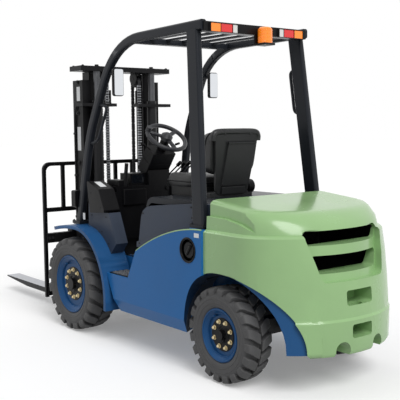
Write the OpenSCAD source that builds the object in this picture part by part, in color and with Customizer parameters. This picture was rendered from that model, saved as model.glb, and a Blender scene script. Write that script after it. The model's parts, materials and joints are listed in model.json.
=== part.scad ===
// Counterbalance forklift truck with a two-stage mast, parked with its forks just off the floor.
// X points forward, Y to the left and Z up. Places along X are counted from the front axle,
// and place() moves that axle so that the origin lies on the floor under the middle of the truck.

/* [Overall] */
// Distance between the front and rear axles
wheelbase = 1700; // [1600:10:1800]
// From the front axle to the front face of the fork shanks
front_overhang = 490; // [480:5:540]
// From the rear axle to the back of the counterweight
rear_overhang = 630; // [600:5:690]
// Height of the overhead guard
guard_height = 2170; // [2100:10:2260]

/* [Front wheels] */
// Diameter over the front lugs
front_tyre_d = 700; // [680:5:720]
// Width of a front tyre
front_tyre_w = 220; // [200:5:225]
// Distance between the middles of the front tyres
front_track = 1016; // [1010:2:1040]
// Diameter of the front rim
front_rim_d = 436; // [400:4:450]
// Lugs on each side of a front tyre
front_lugs = 24; // [18:1:28]

/* [Rear wheels] */
// Diameter over the rear lugs
rear_tyre_d = 582; // [560:2:590]
// Width of a rear tyre
rear_tyre_w = 186; // [170:2:190]
// Distance between the middles of the rear tyres
rear_track = 932; // [924:2:940]
// Diameter of the rear rim
rear_rim_d = 324; // [300:4:340]
// Lugs on each side of a rear tyre
rear_lugs = 22; // [16:1:26]
// Depth of the grooves between the lugs
lug_depth = 30; // [20:1:36]
// From the kingpin to the inner face of a rear tyre
kingpin_gap = 63; // [60:1:70]

/* [Body] */
// Width over the side panels
frame_w = 1150; // [1130:2:1160]
// Height of the underside of the frame
frame_bottom = 245; // [225:5:265]
// Height of the step
step_height = 502; // [480:2:515]
// Height of the hood's deck
hood_top = 1050; // [1035:1:1070]
// Width of the counterweight
counterweight_w = 1124; // [1100:2:1130]
// Height of the top of the counterweight
counterweight_top = 1086; // [1080:1:1110]

/* [Overhead guard] */
// Distance between the middles of the roof rails
guard_top_w = 872; // [860:2:900]
// Distance between the middles of the front post feet
guard_foot_w = 960; // [950:2:980]
// Height of a roof rail, which is also the depth of a front post
guard_rail_h = 62; // [50:1:70]
// Width of a roof rail and of a front post
guard_rail_w = 50; // [40:1:60]

/* [Mast] */
// Width over the outer uprights
mast_w = 716; // [712:2:724]
// Depth of the outer uprights
mast_depth = 150; // [140:2:156]
// Height of the top of the mast crosshead
mast_top = 2000; // [1980:5:2040]
// Height of the underside of the forks
fork_lift = 100; // [95:1:120]

/* [Forks] */
// Length of a fork in front of its shank
fork_length = 1220; // [1000:10:1400]
// Width of a fork
fork_w = 122; // [100:2:140]
// Thickness of a fork
fork_t = 45; // [35:1:50]
// Distance between the middles of the forks
fork_spacing = 580; // [520:10:700]
// Height of the load backrest
backrest_top = 1256; // [1150:2:1300]
// Width of the load backrest
backrest_w = 1190; // [1080:5:1230]

/* [Hidden] */
$fn = 64;

// Fits
seat_gap = 0.3;
pin_gap = 0.3;
running_gap = 6;
overrun = 20;
corner_steps = 5;

// Wheels
front_r = front_tyre_d / 2;
rear_r = rear_tyre_d / 2;
rear_axle_x = -wheelbase;
front_wheel_y = front_track / 2;
rear_wheel_y = rear_track / 2;
kingpin_y = rear_wheel_y - rear_tyre_w / 2 - kingpin_gap;
groove_w = 34;
tyre_shares = [[0, 0.40], [0.22, 0.47], [0.5, 0.5], [0.72, 0.5], [0.9, 0.47], [1, 0.41]];
groove_y_shares = [0.62, 0.16, -0.06];
groove_half_shares = [0.5, 0.4, 0.27];
rim_well_share = 0.78;
rim_width_share = 0.42;
rim_lip = 12;
disc_t = 16;
front_disc_share = 0.28;
rear_disc_share = 0.26;
hub_cap_share = 0.2;
front_hub_r = 75;
rear_hub_r = 56;
spindle_r = 38;
hub_inner_l = 62;
cap_out = 34;
cap_in = 14;

// Steering
well_clear = 10;
tyre_out = rear_tyre_w + kingpin_gap;
well_top = rear_tyre_d + well_clear * 2;
beam_half = 44;
beam_h = 96;
yoke_t = 26;
kingpin_r = 17;
boss_r = 38;
boss_gap = 0.4;
steer_barrel_r = 30;
steer_barrel_half = 105;
steer_barrel_back = 88;

// Frame side panels, counted back from the front axle
frame_half = frame_w / 2;
frame_inner = 330;
toe_back = 611;
step_front = 484;
step_l = 275;
rise_l = 101;
rise_h = 198;
brow_power = 1.9;
brow_steps = 8;
split_ahead = 125;
ridge_z = 905;
chamfer_z = 328;
chamfer_in = 32;
split_x = rear_axle_x + split_ahead;
step_back = step_front + step_l;
arch_back = 30;
arch_x = rear_axle_x - arch_back;
arch_h = 411;
arch_front = 338;
arch_rear = 415;
arch_rear_green = 556;
arch_band = 8;
arch_power_shares = [0.77, 0.91];
skirt_in = 20;
skirt_from = 300;
arch_steps = 12;
base_t = 24;
bulkhead_x = 500;
bulkhead_t = 20;
bay_l = 282;
bay_back = split_ahead + bay_l;
arm_y = 162;
arm_t = 42;
arm_front = 104;
arm_low = 255;
arm_top = 450;
deck_z = 640;
deck_t = 36;
deck_half = 276;
deck_back = 390;
pedestal_half = 48;
pedestal_l = 150;
post_pad_z = 905;
post_pad_l = 132;
post_pad_w = 62;
filler_r = 75;
filler_depth = 42;
filler_cap_r = 48;
filler_ring_t = 12;
filler_in = 8;
filler_back = 1441;
filler_z = 773;

// Fenders, an arc that is fuller at the back than at the front
fender_crown = 90;
fender_base = 300;
fender_top = 800;
fender_rear_reach = 430;
fender_front_reach = 878;
fender_t = 14;
fender_lip = 26;
fender_lip_t = 12;
fender_in = 396;
fender_out = 611;
fender_from = -8;
fender_to = 111;
fender_steps = 20;
fender_wall = 380;
fender_wall_to = 86;
fender_h = fender_top - fender_base;

// Counterweight: heights with their insets from the widest outline, as shares of the named insets,
// and for the upper ones the share of the top's fall to the back
cw_half = counterweight_w / 2;
cw_bottom = 230;
cw_centre_back = 150;
cw_curve_share = 0.95;
cw_steps = 26;
cw_fall_share = 0.105;
cw_rear = rear_axle_x - rear_overhang;
cw_centre_x = rear_axle_x - cw_centre_back;
cw_deep_in = 370;
cw_side_in = 192;
cw_low_span = ridge_z - cw_bottom;
cw_high_span = counterweight_top - ridge_z;
cw_low_shares = [[0, 0.032, 0.09], [0.03, 0, 0.03], [0.29, 0, 0], [0.31, 0.032, 0.01], [0.55, 0.068, 0.01],
    [0.79, 0.14, 0.01], [0.984, 0.236, 0.014]];
cw_high_shares = [[0, 0.262, 0.085, 0], [0.03, 0.31, 0.15, 0], [0.44, 0.378, 0.17, 0.35],
    [0.745, 0.465, 0.28, 0.8], [0.89, 0.52, 0.33, 1], [0.965, 0.59, 0.417, 1], [1, 0.7, 0.61, 1]];
swoosh_y = 502;
swoosh_z = 990;
swoosh_shares = [[0.28, 0.06], [0.5, 0.32], [0.66, 0.72], [0.74, 1]];
swoosh_l = 590;
plenum_half = 330;
plenum_low = 676;
plenum_high = 965;
plenum_back = 420;
recess_low = 646;
recess_high = 936;
recess_top_half = 330;
recess_low_half = 252;
recess_round = 42;
scoop_low_r = 650;
scoop_high_r = 602;
scoop_ahead = 90;
scoop_x = rear_axle_x + scoop_ahead;
slot_upper_halves = [298, 320];
slot_upper = [848, 930];
slot_lower = [690, 792];
slot_round = 24;
slot_lower_halves = [239, 286];
pocket_depth = 160;
pocket_upper = [507, 594];
pocket_upper_half = 106;
pocket_lower = [322, 401];
pocket_lower_half = 82;
pocket_round = 16;
tow_pin_r = 18;
tow_pin_in = 62;
tow_dish_r = 40;
tow_dish_depth = 45;
notch_y = 145;
notch_half = 50;
notch_top = 310;
notch_depth = 130;
radiator_t = 70;
radiator_back = 60;
radiator_half = 300;
power_x = [930, 1258];
power_half = 250;
power_top = 900;

// Cab
floor_t = 16;
floor_front = 340;
floor_half = 296;
tread_t = 8;
tread_in = 420;
hood_front = 770;
hood_half = 418;
hood_t = 40;
hood_skirt_t = 26;
hood_end_gap = 16;
hood_round = 60;
hinge_r = 9;
hinge_drop = 12;
hinge_back = 30;
hinge_pin_l = 16;
skirt_half = 322;
cover_in = hood_half + running_gap;
cover_t = 44;
cover_nose = [[735, 705], [775, 914], [797, 956], [835, 982], [887, 997], [1367, 1044]];
cover_facet = [[738, 742], [830, 762], [1365, 935]];
cover_flare = 14;
cover_ledge_back = 1020;
ledge_w = 26;
ledge_t = 30;
cowl_in = 398;
cowl_out = 530;
cowl_tip_back = 495;
cowl_tip_z = 697;
cowl_panel_in = 34;
cowl_samples = [16, 8];
cowl_dash_x = [130, 330];
cowl_dash_top = 1090;
cowl_toe_z = 560;
cowl_toe_h = 190;
cowl_toe_l = 96;
cowl_low_half = 290;
cowl_wide_z = 700;
pod_points = [[151, 1139], [318, 1080], [399, 917], [191, 901]];
pod_round = 14;
panel_points = [[400, 912], [196, 906], [156, 1128], [130, 1116], [116, 960]];
column_back = 433;
column_z = 1446;
column_tilt = 37;
column_r = 34;
column_l = 330;
shroud_w = 204;
shroud_d = 112;
shroud_l = 214;
steering_wheel_d = 330;
steering_rim_r = 16;
steering_hub_r = 44;
steering_hub_h = 30;
steering_dome_h = 16;
steering_dome_share = 0.6;
spoke_w = 30;
spoke_t = 12;
spokes = 3;
knob_r = 20;
knob_h = 44;
binnacle_half = 96;
display_w = 140;
display_h = 110;
display_t = 40;
lever_y = -230;
lever_pitch = 46;
levers = 4;
lever_r = 6;
lever_knob_r = 14;
lever_knob_l = 44;
pedal_tilt = 50;
lever_back = 240;
boot_r = 20;
boot_h = 56;
lever_rise = 140;
lever_reach = 110;
pedal_w = 90;
pedal_h = 70;
pedal_t = 14;
pedal_back = 350;
pedal_ys = [-210, -60, 120];
pedal_stem_r = 9;
brake_y = 300;
brake_lever_l = 170;

// Seat
seat_half = 232;
seat_front = 705;
seat_base_h = 64;
cushion_h = 90;
cushion_l = 356;
back_t = 96;
back_h = 376;
back_low_half = 138;
back_top_half = 188;
back_wing = 26;
back_lean = 9;
back_shell_t = 22;
seat_round = 45;

// Guard
foot_z = fender_top + seat_gap;
knee_back = 95;
brow_back = 353;
brow_drop = 190;
knee_drop = 502;
brow_z = guard_height - brow_drop;
knee_z = brow_z - knee_drop;
roof_front = 600;
roof_drop = 12;
guard_end = 1437;
foot_front = 35;
guard_bend = 150;
section_round = 14;
rear_post_l = 110;
rear_post_w = 45;
rear_post_top = 1344;
rear_post_foot = 1472;
rear_foot_w = 1000;
roof_bars = 5;
roof_bar_w = 36;
roof_bar_t = 14;
header_l = 60;
header_t = 40;
foot_plate_l = 110;
foot_plate_w = 84;
foot_plate_t = 10;
post_z = foot_z + foot_plate_t;
loop_r = 11;
loop_reach = 125;
loop_drop = 286;
loop_l = 290;
loop_bend = 40;
loop_slant = 20;
loop_high = brow_z - loop_drop;
loop_low = loop_high - loop_l;
grip_reach = 85;
grip_drop = 272;
grip_l = 290;
grip_high = guard_height - grip_drop;
grip_low = grip_high - grip_l;
rail_z = guard_height - guard_rail_h / 2;

// Lamps and mirrors
lamp_bar_h = 60;
lamp_bar_t = 10;
lamp_out = 393;
lamp_in = 178;
lamp_depth = 12;
lamp_h = 50;
lamp_shares = [0, 0.37, 0.81, 1];
lamp_gap = 1;
beacon_r = 46;
beacon_h = 88;
beacon_y = -22;
beacon_drop = 124;
beacon_base = 14;
headlamp_w = 92;
headlamp_h = 130;
headlamp_d = 60;
headlamp_z = 985;
headlamp_lean = guard_rail_h / 2 * norm([knee_z - post_z, foot_front + knee_back]) / (knee_z - post_z);
headlamp_low = (headlamp_z - headlamp_h / 2 - post_z) / (knee_z - post_z);
headlamp_x = foot_front - (foot_front + knee_back) * headlamp_low + headlamp_lean + seat_gap;
headlamp_lens_r = 36;
headlamp_lens_t = 8;
mirror_w = 84;
mirror_h = 195;
mirror_t = 22;
mirror_back = 463;
mirror_arm_r = 8;
mirror_arm_share = 0.7;
mirror_arm_off = 3.8;
mirror_in = 389;
mirror_drop = 236;
mirror_z = brow_z - mirror_drop;
mirror_edge = 6;
mirror_round = 18;

// Mast
mast_front_x = 330;
mast_half = mast_w / 2;
mast_back_x = mast_front_x - mast_depth;
upright_w = 66;
web_t = 14;
flange_t = 18;
mast_foot_z = 128;
outer_top = 1895;
axle_tube_r = 75;
ring_t = 30;
ring_low = 235;
stage_gap = 8;
inner_w = 62;
inner_depth = mast_depth - 2 * flange_t - 2 * running_gap;
inner_foot_z = 140;
inner_half = mast_half - upright_w - stage_gap;
mast_mid_x = (mast_front_x + mast_back_x) / 2;
roller_w = 36;
roller_from_foot = 70;
inner_flange = 14;
crosshead_half = 415;
crosshead_t = 38;
crosshead_x = [95, 272];
tie_t = 20;
tie_h = 110;
outer_tie_zs = [300, 950];
head_plate_z = 1690;
head_plate_t = 24;
head_plate_x = [84, 178];
barrel_x = 130;
barrel_y = 256;
barrel_r = 38;
barrel_bore = 31;
lift_rod_r = 26;
barrel_foot = 150;
barrel_foot_t = 22;
rod_gap = 15;
sheave_x = 203;
sheave_y = 152;
sheave_r = 41;
sheave_w = 32;
sheave_z = 1889;
sheave_pin_r = 14;
cheek_t = 7;
chain_w = 28;
chain_t = 12;
chain_pitch = 30;
chain_waist_share = 0.72;
chain_drop = 1490;
tail_l = 1470;
anchor_r = 9;
anchor_h = 130;
chain_out = sheave_r + chain_t / 2;
lift_anchor_z = sheave_z - chain_drop;

// Carriage, backrest and forks
bar_t = 44;
bar_back_x = front_overhang - fork_t - bar_t - seat_gap;
bar_h = 76;
bar_low_rise = 90;
bar_up_rise = 514;
bar_lower = [fork_lift + bar_low_rise, fork_lift + bar_low_rise + bar_h];
bar_upper = [fork_lift + bar_up_rise, fork_lift + bar_up_rise + bar_h];
bar_end_in = 86;
bar_half = backrest_w / 2 - bar_end_in;
bar_groove = 12;
bar_groove_d = 12;
plate_t = 34;
plate_out = inner_half - inner_w - stage_gap;
plate_rise = 80;
plate_h = 315;
plate_low = fork_lift + plate_rise;
plate_high = plate_low + plate_h;
plate_front_x = mast_front_x + running_gap;
plate_x = 226;
carriage_roller_ins = [50, 55];
carriage_roller_zs = [plate_low + carriage_roller_ins[0], plate_high - carriage_roller_ins[1]];
chain_lug = 44;
backrest_t = 26;
backrest_bar_w = 30;
backrest_bars = 8;
backrest_rail_z = 858;
backrest_rail_h = 34;
backrest_rise = 75;
backrest_foot_z = fork_lift + backrest_rise;
backrest_round = 60;
fork_top_z = fork_lift + fork_t;
fork_tip_t = 12;
fork_taper = 420;
fork_heel_round = 60;
hook_t = 24;
hook_l = 34;
shank_top = bar_upper[1] + hook_t + seat_gap;
fork_face_x = front_overhang;
fork_tip_x = front_overhang + fork_length;
place_x = -(fork_tip_x + cw_rear) / 2;

// Tilt cylinders
tilt_y = 334;
tilt_eye_x = 140;
tilt_eye_z = 620;
tilt_pivot_back = 420;
tilt_pivot_z = 560;
tilt_barrel_r = 27;
tilt_bore = 20;
tilt_rod_r = 16;
tilt_barrel_l = 400;
tilt_eye_r = 30;
tilt_eye_w = 36;
tilt_neck = 40;
tilt_pin_r = 14;
tilt_eye_gap = 4;
tilt_ear_t = 9;
tilt_span = [tilt_eye_x + tilt_pivot_back, tilt_eye_z - tilt_pivot_z];
tilt_l = norm(tilt_span);
tilt_angle = atan2(tilt_span[1], tilt_span[0]);

// Helpers

function unit(v) = v / norm(v);

// Corner a of an outline between p and b, rounded to radius r
function corner(p, a, b, r) =
    let (u = unit(p - a), v = unit(b - a), half = acos(u * v) / 2, c = a + unit(u + v) * r / sin(half))
    let (s = a + u * r / tan(half) - c, e = a + v * r / tan(half) - c)
    let (from = atan2(s[1], s[0]), turn = (atan2(e[1], e[0]) - from + 540) % 360 - 180)
    [for (i = [0:corner_steps])
        c + r * [cos(from + turn * i / corner_steps), sin(from + turn * i / corner_steps)]];

// Outline with all its corners rounded
function rounded(points, r) =
    let (n = len(points))
    [for (i = [0:n - 1]) each corner(points[(i + n - 1) % n], points[i], points[(i + 1) % n], r)];

function rectangle(w, h) = [[-w / 2, -h / 2], [w / 2, -h / 2], [w / 2, h / 2], [-w / 2, h / 2]];

// Path through points, its inner corners eased over the length l on both sides
function eased(points, l) =
    let (n = len(points))
    [for (i = [0:n - 1])
        let (a = points[i])
        if (i == 0 || i == n - 1) a
        else let (s = a + unit(points[i - 1] - a) * l, e = a + unit(points[i + 1] - a) * l)
            each [for (k = [0:corner_steps])
                let (t = k / corner_steps)
                (1 - t) * (1 - t) * s + 2 * t * (1 - t) * a + t * t * e]];

// Skin over rings of equal length, closed at both ends
module skin(rings) {
    n = len(rings[0]);
    last = len(rings) - 1;
    sides = [for (i = [0:last - 1], j = [0:n - 1])
        let (a = i * n + j, b = i * n + (j + 1) % n)
        each [[a, a + n, b], [b, a + n, b + n]]];
    foot = [[for (j = [0:n - 1]) j]];
    head = [[for (j = [0:n - 1]) last * n + n - 1 - j]];
    polyhedron([for (ring = rings) each ring], concat(sides, foot, head));
}

// Section swept along a path; its second direction stays close to the vector across
module sweep(path, section, across) {
    last = len(path) - 1;
    skin([for (i = [0:last])
        let (t = unit(path[min(i + 1, last)] - path[max(i - 1, 0)]))
        let (n = unit(cross(across, t)), b = cross(t, n))
        [for (p = section) path[i] + p[0] * n + p[1] * b]]);
}

module rod(path, r, across) {
    sides = 10;
    sweep(path, [for (i = [0:sides - 1]) r * [cos(360 * i / sides), sin(360 * i / sides)]], across);
}

// Slabs of an outline drawn in the side, plan or rear view
module side_slab(points, y) {
    translate([0, y[1], 0]) rotate([90, 0, 0]) linear_extrude(y[1] - y[0]) polygon(points);
}

module plan_slab(points, z) {
    translate([0, 0, z[0]]) linear_extrude(z[1] - z[0]) polygon(points);
}

module rear_slab(points, x) {
    translate([x[0], 0, 0]) rotate([90, 0, 90]) linear_extrude(x[1] - x[0]) polygon(points);
}

module block(x, y, z) {
    translate([x[0], y[0], z[0]]) cube([x[1] - x[0], y[1] - y[0], z[1] - z[0]]);
}

module cross_pin(x, z, y, r) {
    translate([x, y[1], z]) rotate([90, 0, 0]) cylinder(r = r, h = y[1] - y[0]);
}

module upright_pin(x, y, z, r) {
    translate([x, y, z[0]]) cylinder(r = r, h = z[1] - z[0]);
}

module both_sides() {
    children();
    mirror([0, 1, 0]) children();
}

module side(s) {
    if (s > 0) children();
    else mirror([0, 1, 0]) children();
}

module place() {
    translate([place_x, 0, 0]) children();
}

// Wheels

module tyre(r, w, rim_r, lugs) {
    pitch = 360 / lugs;
    shift = PI * r / lugs / 2;
    profile = [for (s = tyre_shares) [rim_r + seat_gap + s[0] * (r - rim_r - seat_gap), s[1] * w]];
    mirrored = [for (i = [len(profile) - 1:-1:0]) [profile[i][0], -profile[i][1]]];
    difference() {
        rotate([90, 0, 0]) rotate_extrude() polygon(concat(profile, mirrored));
        for (k = [0:lugs - 1], s = [-1, 1])
            rotate([0, (k + (s > 0 ? 0.5 : 0)) * pitch, 0])
                translate([0, 0, r - lug_depth])
                    linear_extrude(lug_depth + overrun) groove(w, s, shift);
    }
}

// Groove between two lugs, from the shoulder to the middle of the tread
module groove(w, s, shift) {
    ys = [for (share = groove_y_shares) s * share * w];
    xs = [0, 0, s * shift];
    half = groove_half_shares * groove_w;
    polygon(concat([for (i = [0:2]) [xs[i] - half[i], ys[i]]],
        [for (i = [2:-1:0]) [xs[i] + half[i], ys[i]]]));
}

// Dished rim with its hub; the positive end of the axis faces out
module rim(rim_r, w, hub_r, disc) {
    half = rim_width_share * w;
    well = rim_r * rim_well_share;
    cap_r = rim_r * hub_cap_share;
    bore = spindle_r + pin_gap;
    rotate([-90, 0, 0]) rotate_extrude() polygon([[bore, -hub_inner_l], [hub_r, -hub_inner_l],
        [hub_r, disc - disc_t], [well, disc - disc_t], [well, -half], [rim_r, -half], [rim_r, half],
        [rim_r - rim_lip, half], [well + rim_lip, half - rim_lip], [well, half - 2 * rim_lip], [well, disc],
        [hub_r, disc], [hub_r - rim_lip, disc + rim_lip], [cap_r, disc + rim_lip], [cap_r, disc + cap_out],
        [0, disc + cap_out], [0, disc + cap_out - cap_in], [bore, disc + cap_out - cap_in]]);
}

front_disc = front_disc_share * front_tyre_w;
rear_disc = rear_disc_share * rear_tyre_w;

module front_tyre(s) {
    color("dimgray") place() side(s) translate([0, front_wheel_y, front_r])
        tyre(front_r, front_tyre_w, front_rim_d / 2, front_lugs);
}

module front_rim(s) {
    color("royalblue") place() side(s) translate([0, front_wheel_y, front_r])
        rim(front_rim_d / 2, front_tyre_w, front_hub_r, front_disc);
}

module rear_tyre(s) {
    color("dimgray") place() side(s) translate([rear_axle_x, rear_wheel_y, rear_r])
        tyre(rear_r, rear_tyre_w, rear_rim_d / 2, rear_lugs);
}

module rear_rim(s) {
    color("royalblue") place() side(s) translate([rear_axle_x, rear_wheel_y, rear_r])
        rim(rear_rim_d / 2, rear_tyre_w, rear_hub_r, rear_disc);
}

// Axles

module drive_axle() {
    tube_end = front_wheel_y - hub_inner_l - running_gap;
    spindle_end = front_wheel_y + front_disc + cap_out - cap_in - pin_gap;
    color("darkslategray") place() {
        cross_pin(0, front_r, [-tube_end, tube_end], axle_tube_r);
        cross_pin(0, front_r, [-spindle_end, spindle_end], spindle_r);
        intersection() {
            translate([0, 0, front_r]) sphere(r = 2 * axle_tube_r);
            block([-2 * axle_tube_r, 2 * axle_tube_r], [-arm_y + running_gap, arm_y - running_gap],
                [arm_low - running_gap, arm_top + running_gap]);
        }
    }
}

module steer_axle() {
    low = rear_r - beam_h / 2;
    high = rear_r + beam_h / 2;
    fork_in = kingpin_y - boss_r - running_gap;
    color("dimgray") place() {
        block([rear_axle_x - beam_half, rear_axle_x + beam_half], [-fork_in, fork_in], [low, high]);
        both_sides() for (z = [low, high - yoke_t])
            hull() {
                upright_pin(rear_axle_x, kingpin_y, [z, z + yoke_t], beam_half);
                block([rear_axle_x - beam_half, rear_axle_x + beam_half], [fork_in - yoke_t, fork_in],
                    [z, z + yoke_t]);
            }
        both_sides() upright_pin(rear_axle_x, kingpin_y, [low, high], kingpin_r);
        cross_pin(rear_axle_x - steer_barrel_back, rear_r, [-steer_barrel_half, steer_barrel_half],
            steer_barrel_r);
        block([rear_axle_x - steer_barrel_back, rear_axle_x], [-beam_half, beam_half],
            [rear_r - steer_barrel_r / 2, rear_r + steer_barrel_r / 2]);
        block([rear_axle_x - pedestal_l / 2, rear_axle_x + pedestal_l / 2], [-pedestal_half, pedestal_half],
            [rear_r, deck_z - deck_t]);
    }
}

module knuckle(s) {
    low = rear_r - beam_h / 2 + yoke_t + boss_gap;
    high = rear_r + beam_h / 2 - yoke_t - boss_gap;
    spindle_end = rear_wheel_y + rear_disc + cap_out - cap_in - pin_gap;
    color("gray") place() side(s) difference() {
        union() {
            upright_pin(rear_axle_x, kingpin_y, [low, high], boss_r);
            intersection() {
                cross_pin(rear_axle_x, rear_r, [kingpin_y, spindle_end], spindle_r);
                block([rear_axle_x - spindle_r, rear_axle_x + spindle_r], [kingpin_y, kingpin_y + boss_r],
                    [low, high]);
            }
            cross_pin(rear_axle_x, rear_r, [kingpin_y + beam_half + running_gap, spindle_end], spindle_r);
            block([rear_axle_x - spindle_r / 2, rear_axle_x + spindle_r / 2],
                [kingpin_y, kingpin_y + beam_half + spindle_r], [low, high]);
        }
        upright_pin(rear_axle_x, kingpin_y, [low - overrun, high + overrun], kingpin_r + pin_gap);
    }
}

// Frame

// Rear wheel arch in the side view, with its back half-axis and a margin
function arch(rear, margin) =
    [for (i = [0:2 * arch_steps])
        let (t = 90 * i / arch_steps, c = cos(t), front = c > 0, n = arch_power_shares[front ? 0 : 1])
        [arch_x + (front ? arch_front : -rear) * pow(abs(c), n),
            frame_bottom + (arch_h + margin) * pow(abs(sin(t)), n)]];

function arch_cut(rear, margin) = concat([[arch_x + arch_front, -overrun]], arch(rear, margin),
    [[arch_x - rear, -overrun]]);

// Space that a steered rear tyre sweeps about its kingpin
module well() {
    wide = norm([rear_r, tyre_out]) + well_clear;
    profile = concat([[0, -overrun], [wide, -overrun]],
        [for (i = [0:arch_steps])
            let (t = 90 * i / arch_steps)
            [norm([rear_r * cos(t), tyre_out]) + well_clear, rear_r * (1 + sin(t))]],
        [[tyre_out + well_clear, well_top], [0, well_top]]);
    translate([rear_axle_x, kingpin_y, 0]) rotate_extrude() polygon(profile);
}

// Plan outline of the counterweight between the split line and its rounded back
function cw_outline(rear_in, side_in) =
    let (a = cw_centre_x - cw_rear - rear_in, b = cw_half - side_in)
    concat([[split_x, -b], [split_x, b]],
        [for (i = [0:cw_steps])
            let (t = 180 * i / cw_steps, c = cos(t))
            [cw_centre_x - a * pow(sin(t), cw_curve_share), b * sign(c) * pow(abs(c), cw_curve_share)]]);

// Upper edge of the side panel back to the split line, lifted by a gap
function brow(gap) =
    [for (i = [0:brow_steps])
        let (u = i / brow_steps, foot = step_height + rise_h, x = -step_back - rise_l)
        [x + u * (split_x - x), foot + gap + (ridge_z - foot) * (1 - pow(1 - u, brow_power))]];

module frame_side() {
    outline = concat([[-toe_back, frame_bottom], [-step_front, step_height], [-step_back, step_height]],
        brow(0), [[split_x, frame_bottom]]);
    section = [[frame_inner, frame_bottom], [frame_half - chamfer_in, frame_bottom],
        [frame_half, chamfer_z], [frame_half, ridge_z], [frame_inner, ridge_z]];
    difference() {
        intersection() {
            side_slab(outline, [frame_inner, frame_half]);
            rear_slab(section, [split_x, -step_front]);
        }
        side_slab(arch_cut(arch_rear, 0), [0, frame_half + overrun]);
        well();
        cross_pin(-filler_back, filler_z, [frame_half - filler_depth, frame_half + overrun], filler_r);
    }
    block([-rear_post_foot - post_pad_l / 2, -rear_post_foot + post_pad_l / 2],
        [rear_foot_w / 2 - post_pad_w / 2, rear_foot_w / 2 + post_pad_w / 2], [deck_z, post_pad_z]);
}

// Band behind the rear wheel, set in a little from the counterweight
module rear_skirt() {
    band = concat(arch(arch_rear_green, arch_band), [for (i = [2 * arch_steps:-1:0]) arch(arch_rear, 0)[i]]);
    intersection() {
        side_slab(band, [skirt_from, frame_half]);
        plan_slab(cw_outline(skirt_in, skirt_in), [0, ridge_z]);
    }
}

module main_frame() {
    bay_x = rear_axle_x + bay_back;
    color("royalblue") place() {
        both_sides() {
            frame_side();
            rear_skirt();
            difference() {
                block([-bulkhead_x - bulkhead_t, arm_front], [arm_y, arm_y + arm_t], [arm_low, arm_top]);
                cross_pin(0, front_r, [0, frame_half], axle_tube_r + seat_gap);
            }
            for (y = [tilt_y - tilt_eye_w / 2 - tilt_ear_t - seat_gap, tilt_y + tilt_eye_w / 2 + seat_gap])
                block([-bulkhead_x - bulkhead_t, -tilt_pivot_back + tilt_eye_r], [y, y + tilt_ear_t],
                    [step_height - floor_t - tilt_eye_r, tilt_pivot_z + tilt_eye_r]);
            cross_pin(-tilt_pivot_back, tilt_pivot_z,
                [tilt_y - tilt_eye_w / 2 - tilt_ear_t, tilt_y + tilt_eye_w / 2 + tilt_ear_t], tilt_pin_r);
        }
        block([bay_x, -bulkhead_x], [-frame_inner, frame_inner], [frame_bottom, frame_bottom + base_t]);
        block([-bulkhead_x - bulkhead_t, -bulkhead_x], [-frame_inner, frame_inner],
            [frame_bottom, step_height - floor_t]);
        both_sides() block([-bulkhead_x - bulkhead_t - overrun, -bulkhead_x],
            [frame_inner - overrun, tilt_y + tilt_eye_w], [frame_bottom, step_height - floor_t]);
        block([bay_x, bay_x + base_t], [-frame_inner, frame_inner], [frame_bottom, deck_z]);
        block([rear_axle_x - deck_back, bay_x + base_t], [-deck_half, deck_half], [deck_z - deck_t, deck_z]);
    }
}

// Point on the fender's arc, moved out by a gap
function fender_point(t, gap) =
    [-fender_crown - ((t < 90 ? fender_rear_reach : fender_front_reach) + gap) * cos(t),
        fender_base + (fender_h + gap) * sin(t)];

function fender_arc(gap, from, to) =
    [for (i = [0:fender_steps]) fender_point(from + (to - from) * i / fender_steps, gap)];

module front_fenders() {
    outer = fender_arc(0, fender_from, fender_to);
    color("royalblue") place() both_sides() {
        side_slab(concat(outer, [for (i = [fender_steps:-1:0])
            fender_arc(-fender_t, fender_from, fender_to)[i]]), [fender_in, fender_out]);
        side_slab(concat(outer, [for (i = [fender_steps:-1:0])
            fender_arc(-fender_lip, fender_from, fender_to)[i]]), [fender_out - fender_lip_t, fender_out]);
        side_slab(fender_arc(0, fender_from, fender_wall_to), [fender_wall, fender_in]);
    }
}

// Counterweight

cw_levels = concat(
    [for (s = cw_low_shares) [cw_bottom + s[0] * cw_low_span, s[1], s[2], 0]],
    [for (s = cw_high_shares) [ridge_z + s[0] * cw_high_span, s[1], s[2], s[3] * cw_fall_share]]);

module cw_body() {
    skin([for (level = cw_levels)
        [for (p = cw_outline(level[1] * cw_deep_in, level[2] * cw_side_in))
            [p[0], p[1], level[0] - level[3] * (split_x - p[0])]]]);
}

module cw_recess() {
    points = rounded([[-recess_low_half, recess_low], [recess_low_half, recess_low],
        [recess_top_half, recess_high], [-recess_top_half, recess_high]], recess_round);
    difference() {
        rear_slab(points, [cw_rear - overrun, rear_axle_x - plenum_back]);
        translate([scoop_x, 0, recess_low - overrun])
            cylinder(r1 = scoop_low_r, r2 = scoop_high_r, h = recess_high - recess_low + 2 * overrun);
    }
}

module cw_slots() {
    for (slot = [[slot_upper, slot_upper_halves], [slot_lower, slot_lower_halves]])
        let (z = slot[0], half = slot[1])
        rear_slab(rounded([[-half[0], z[0]], [half[0], z[0]], [half[1], z[1]], [-half[1], z[1]]], slot_round),
            [cw_rear - overrun, rear_axle_x - plenum_back + overrun]);
}

module cw_pocket(z, half) {
    rear_slab(rounded([[-half, z[0]], [half, z[0]], [half, z[1]], [-half, z[1]]], pocket_round),
        [cw_rear - overrun, cw_rear + pocket_depth]);
}

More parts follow.
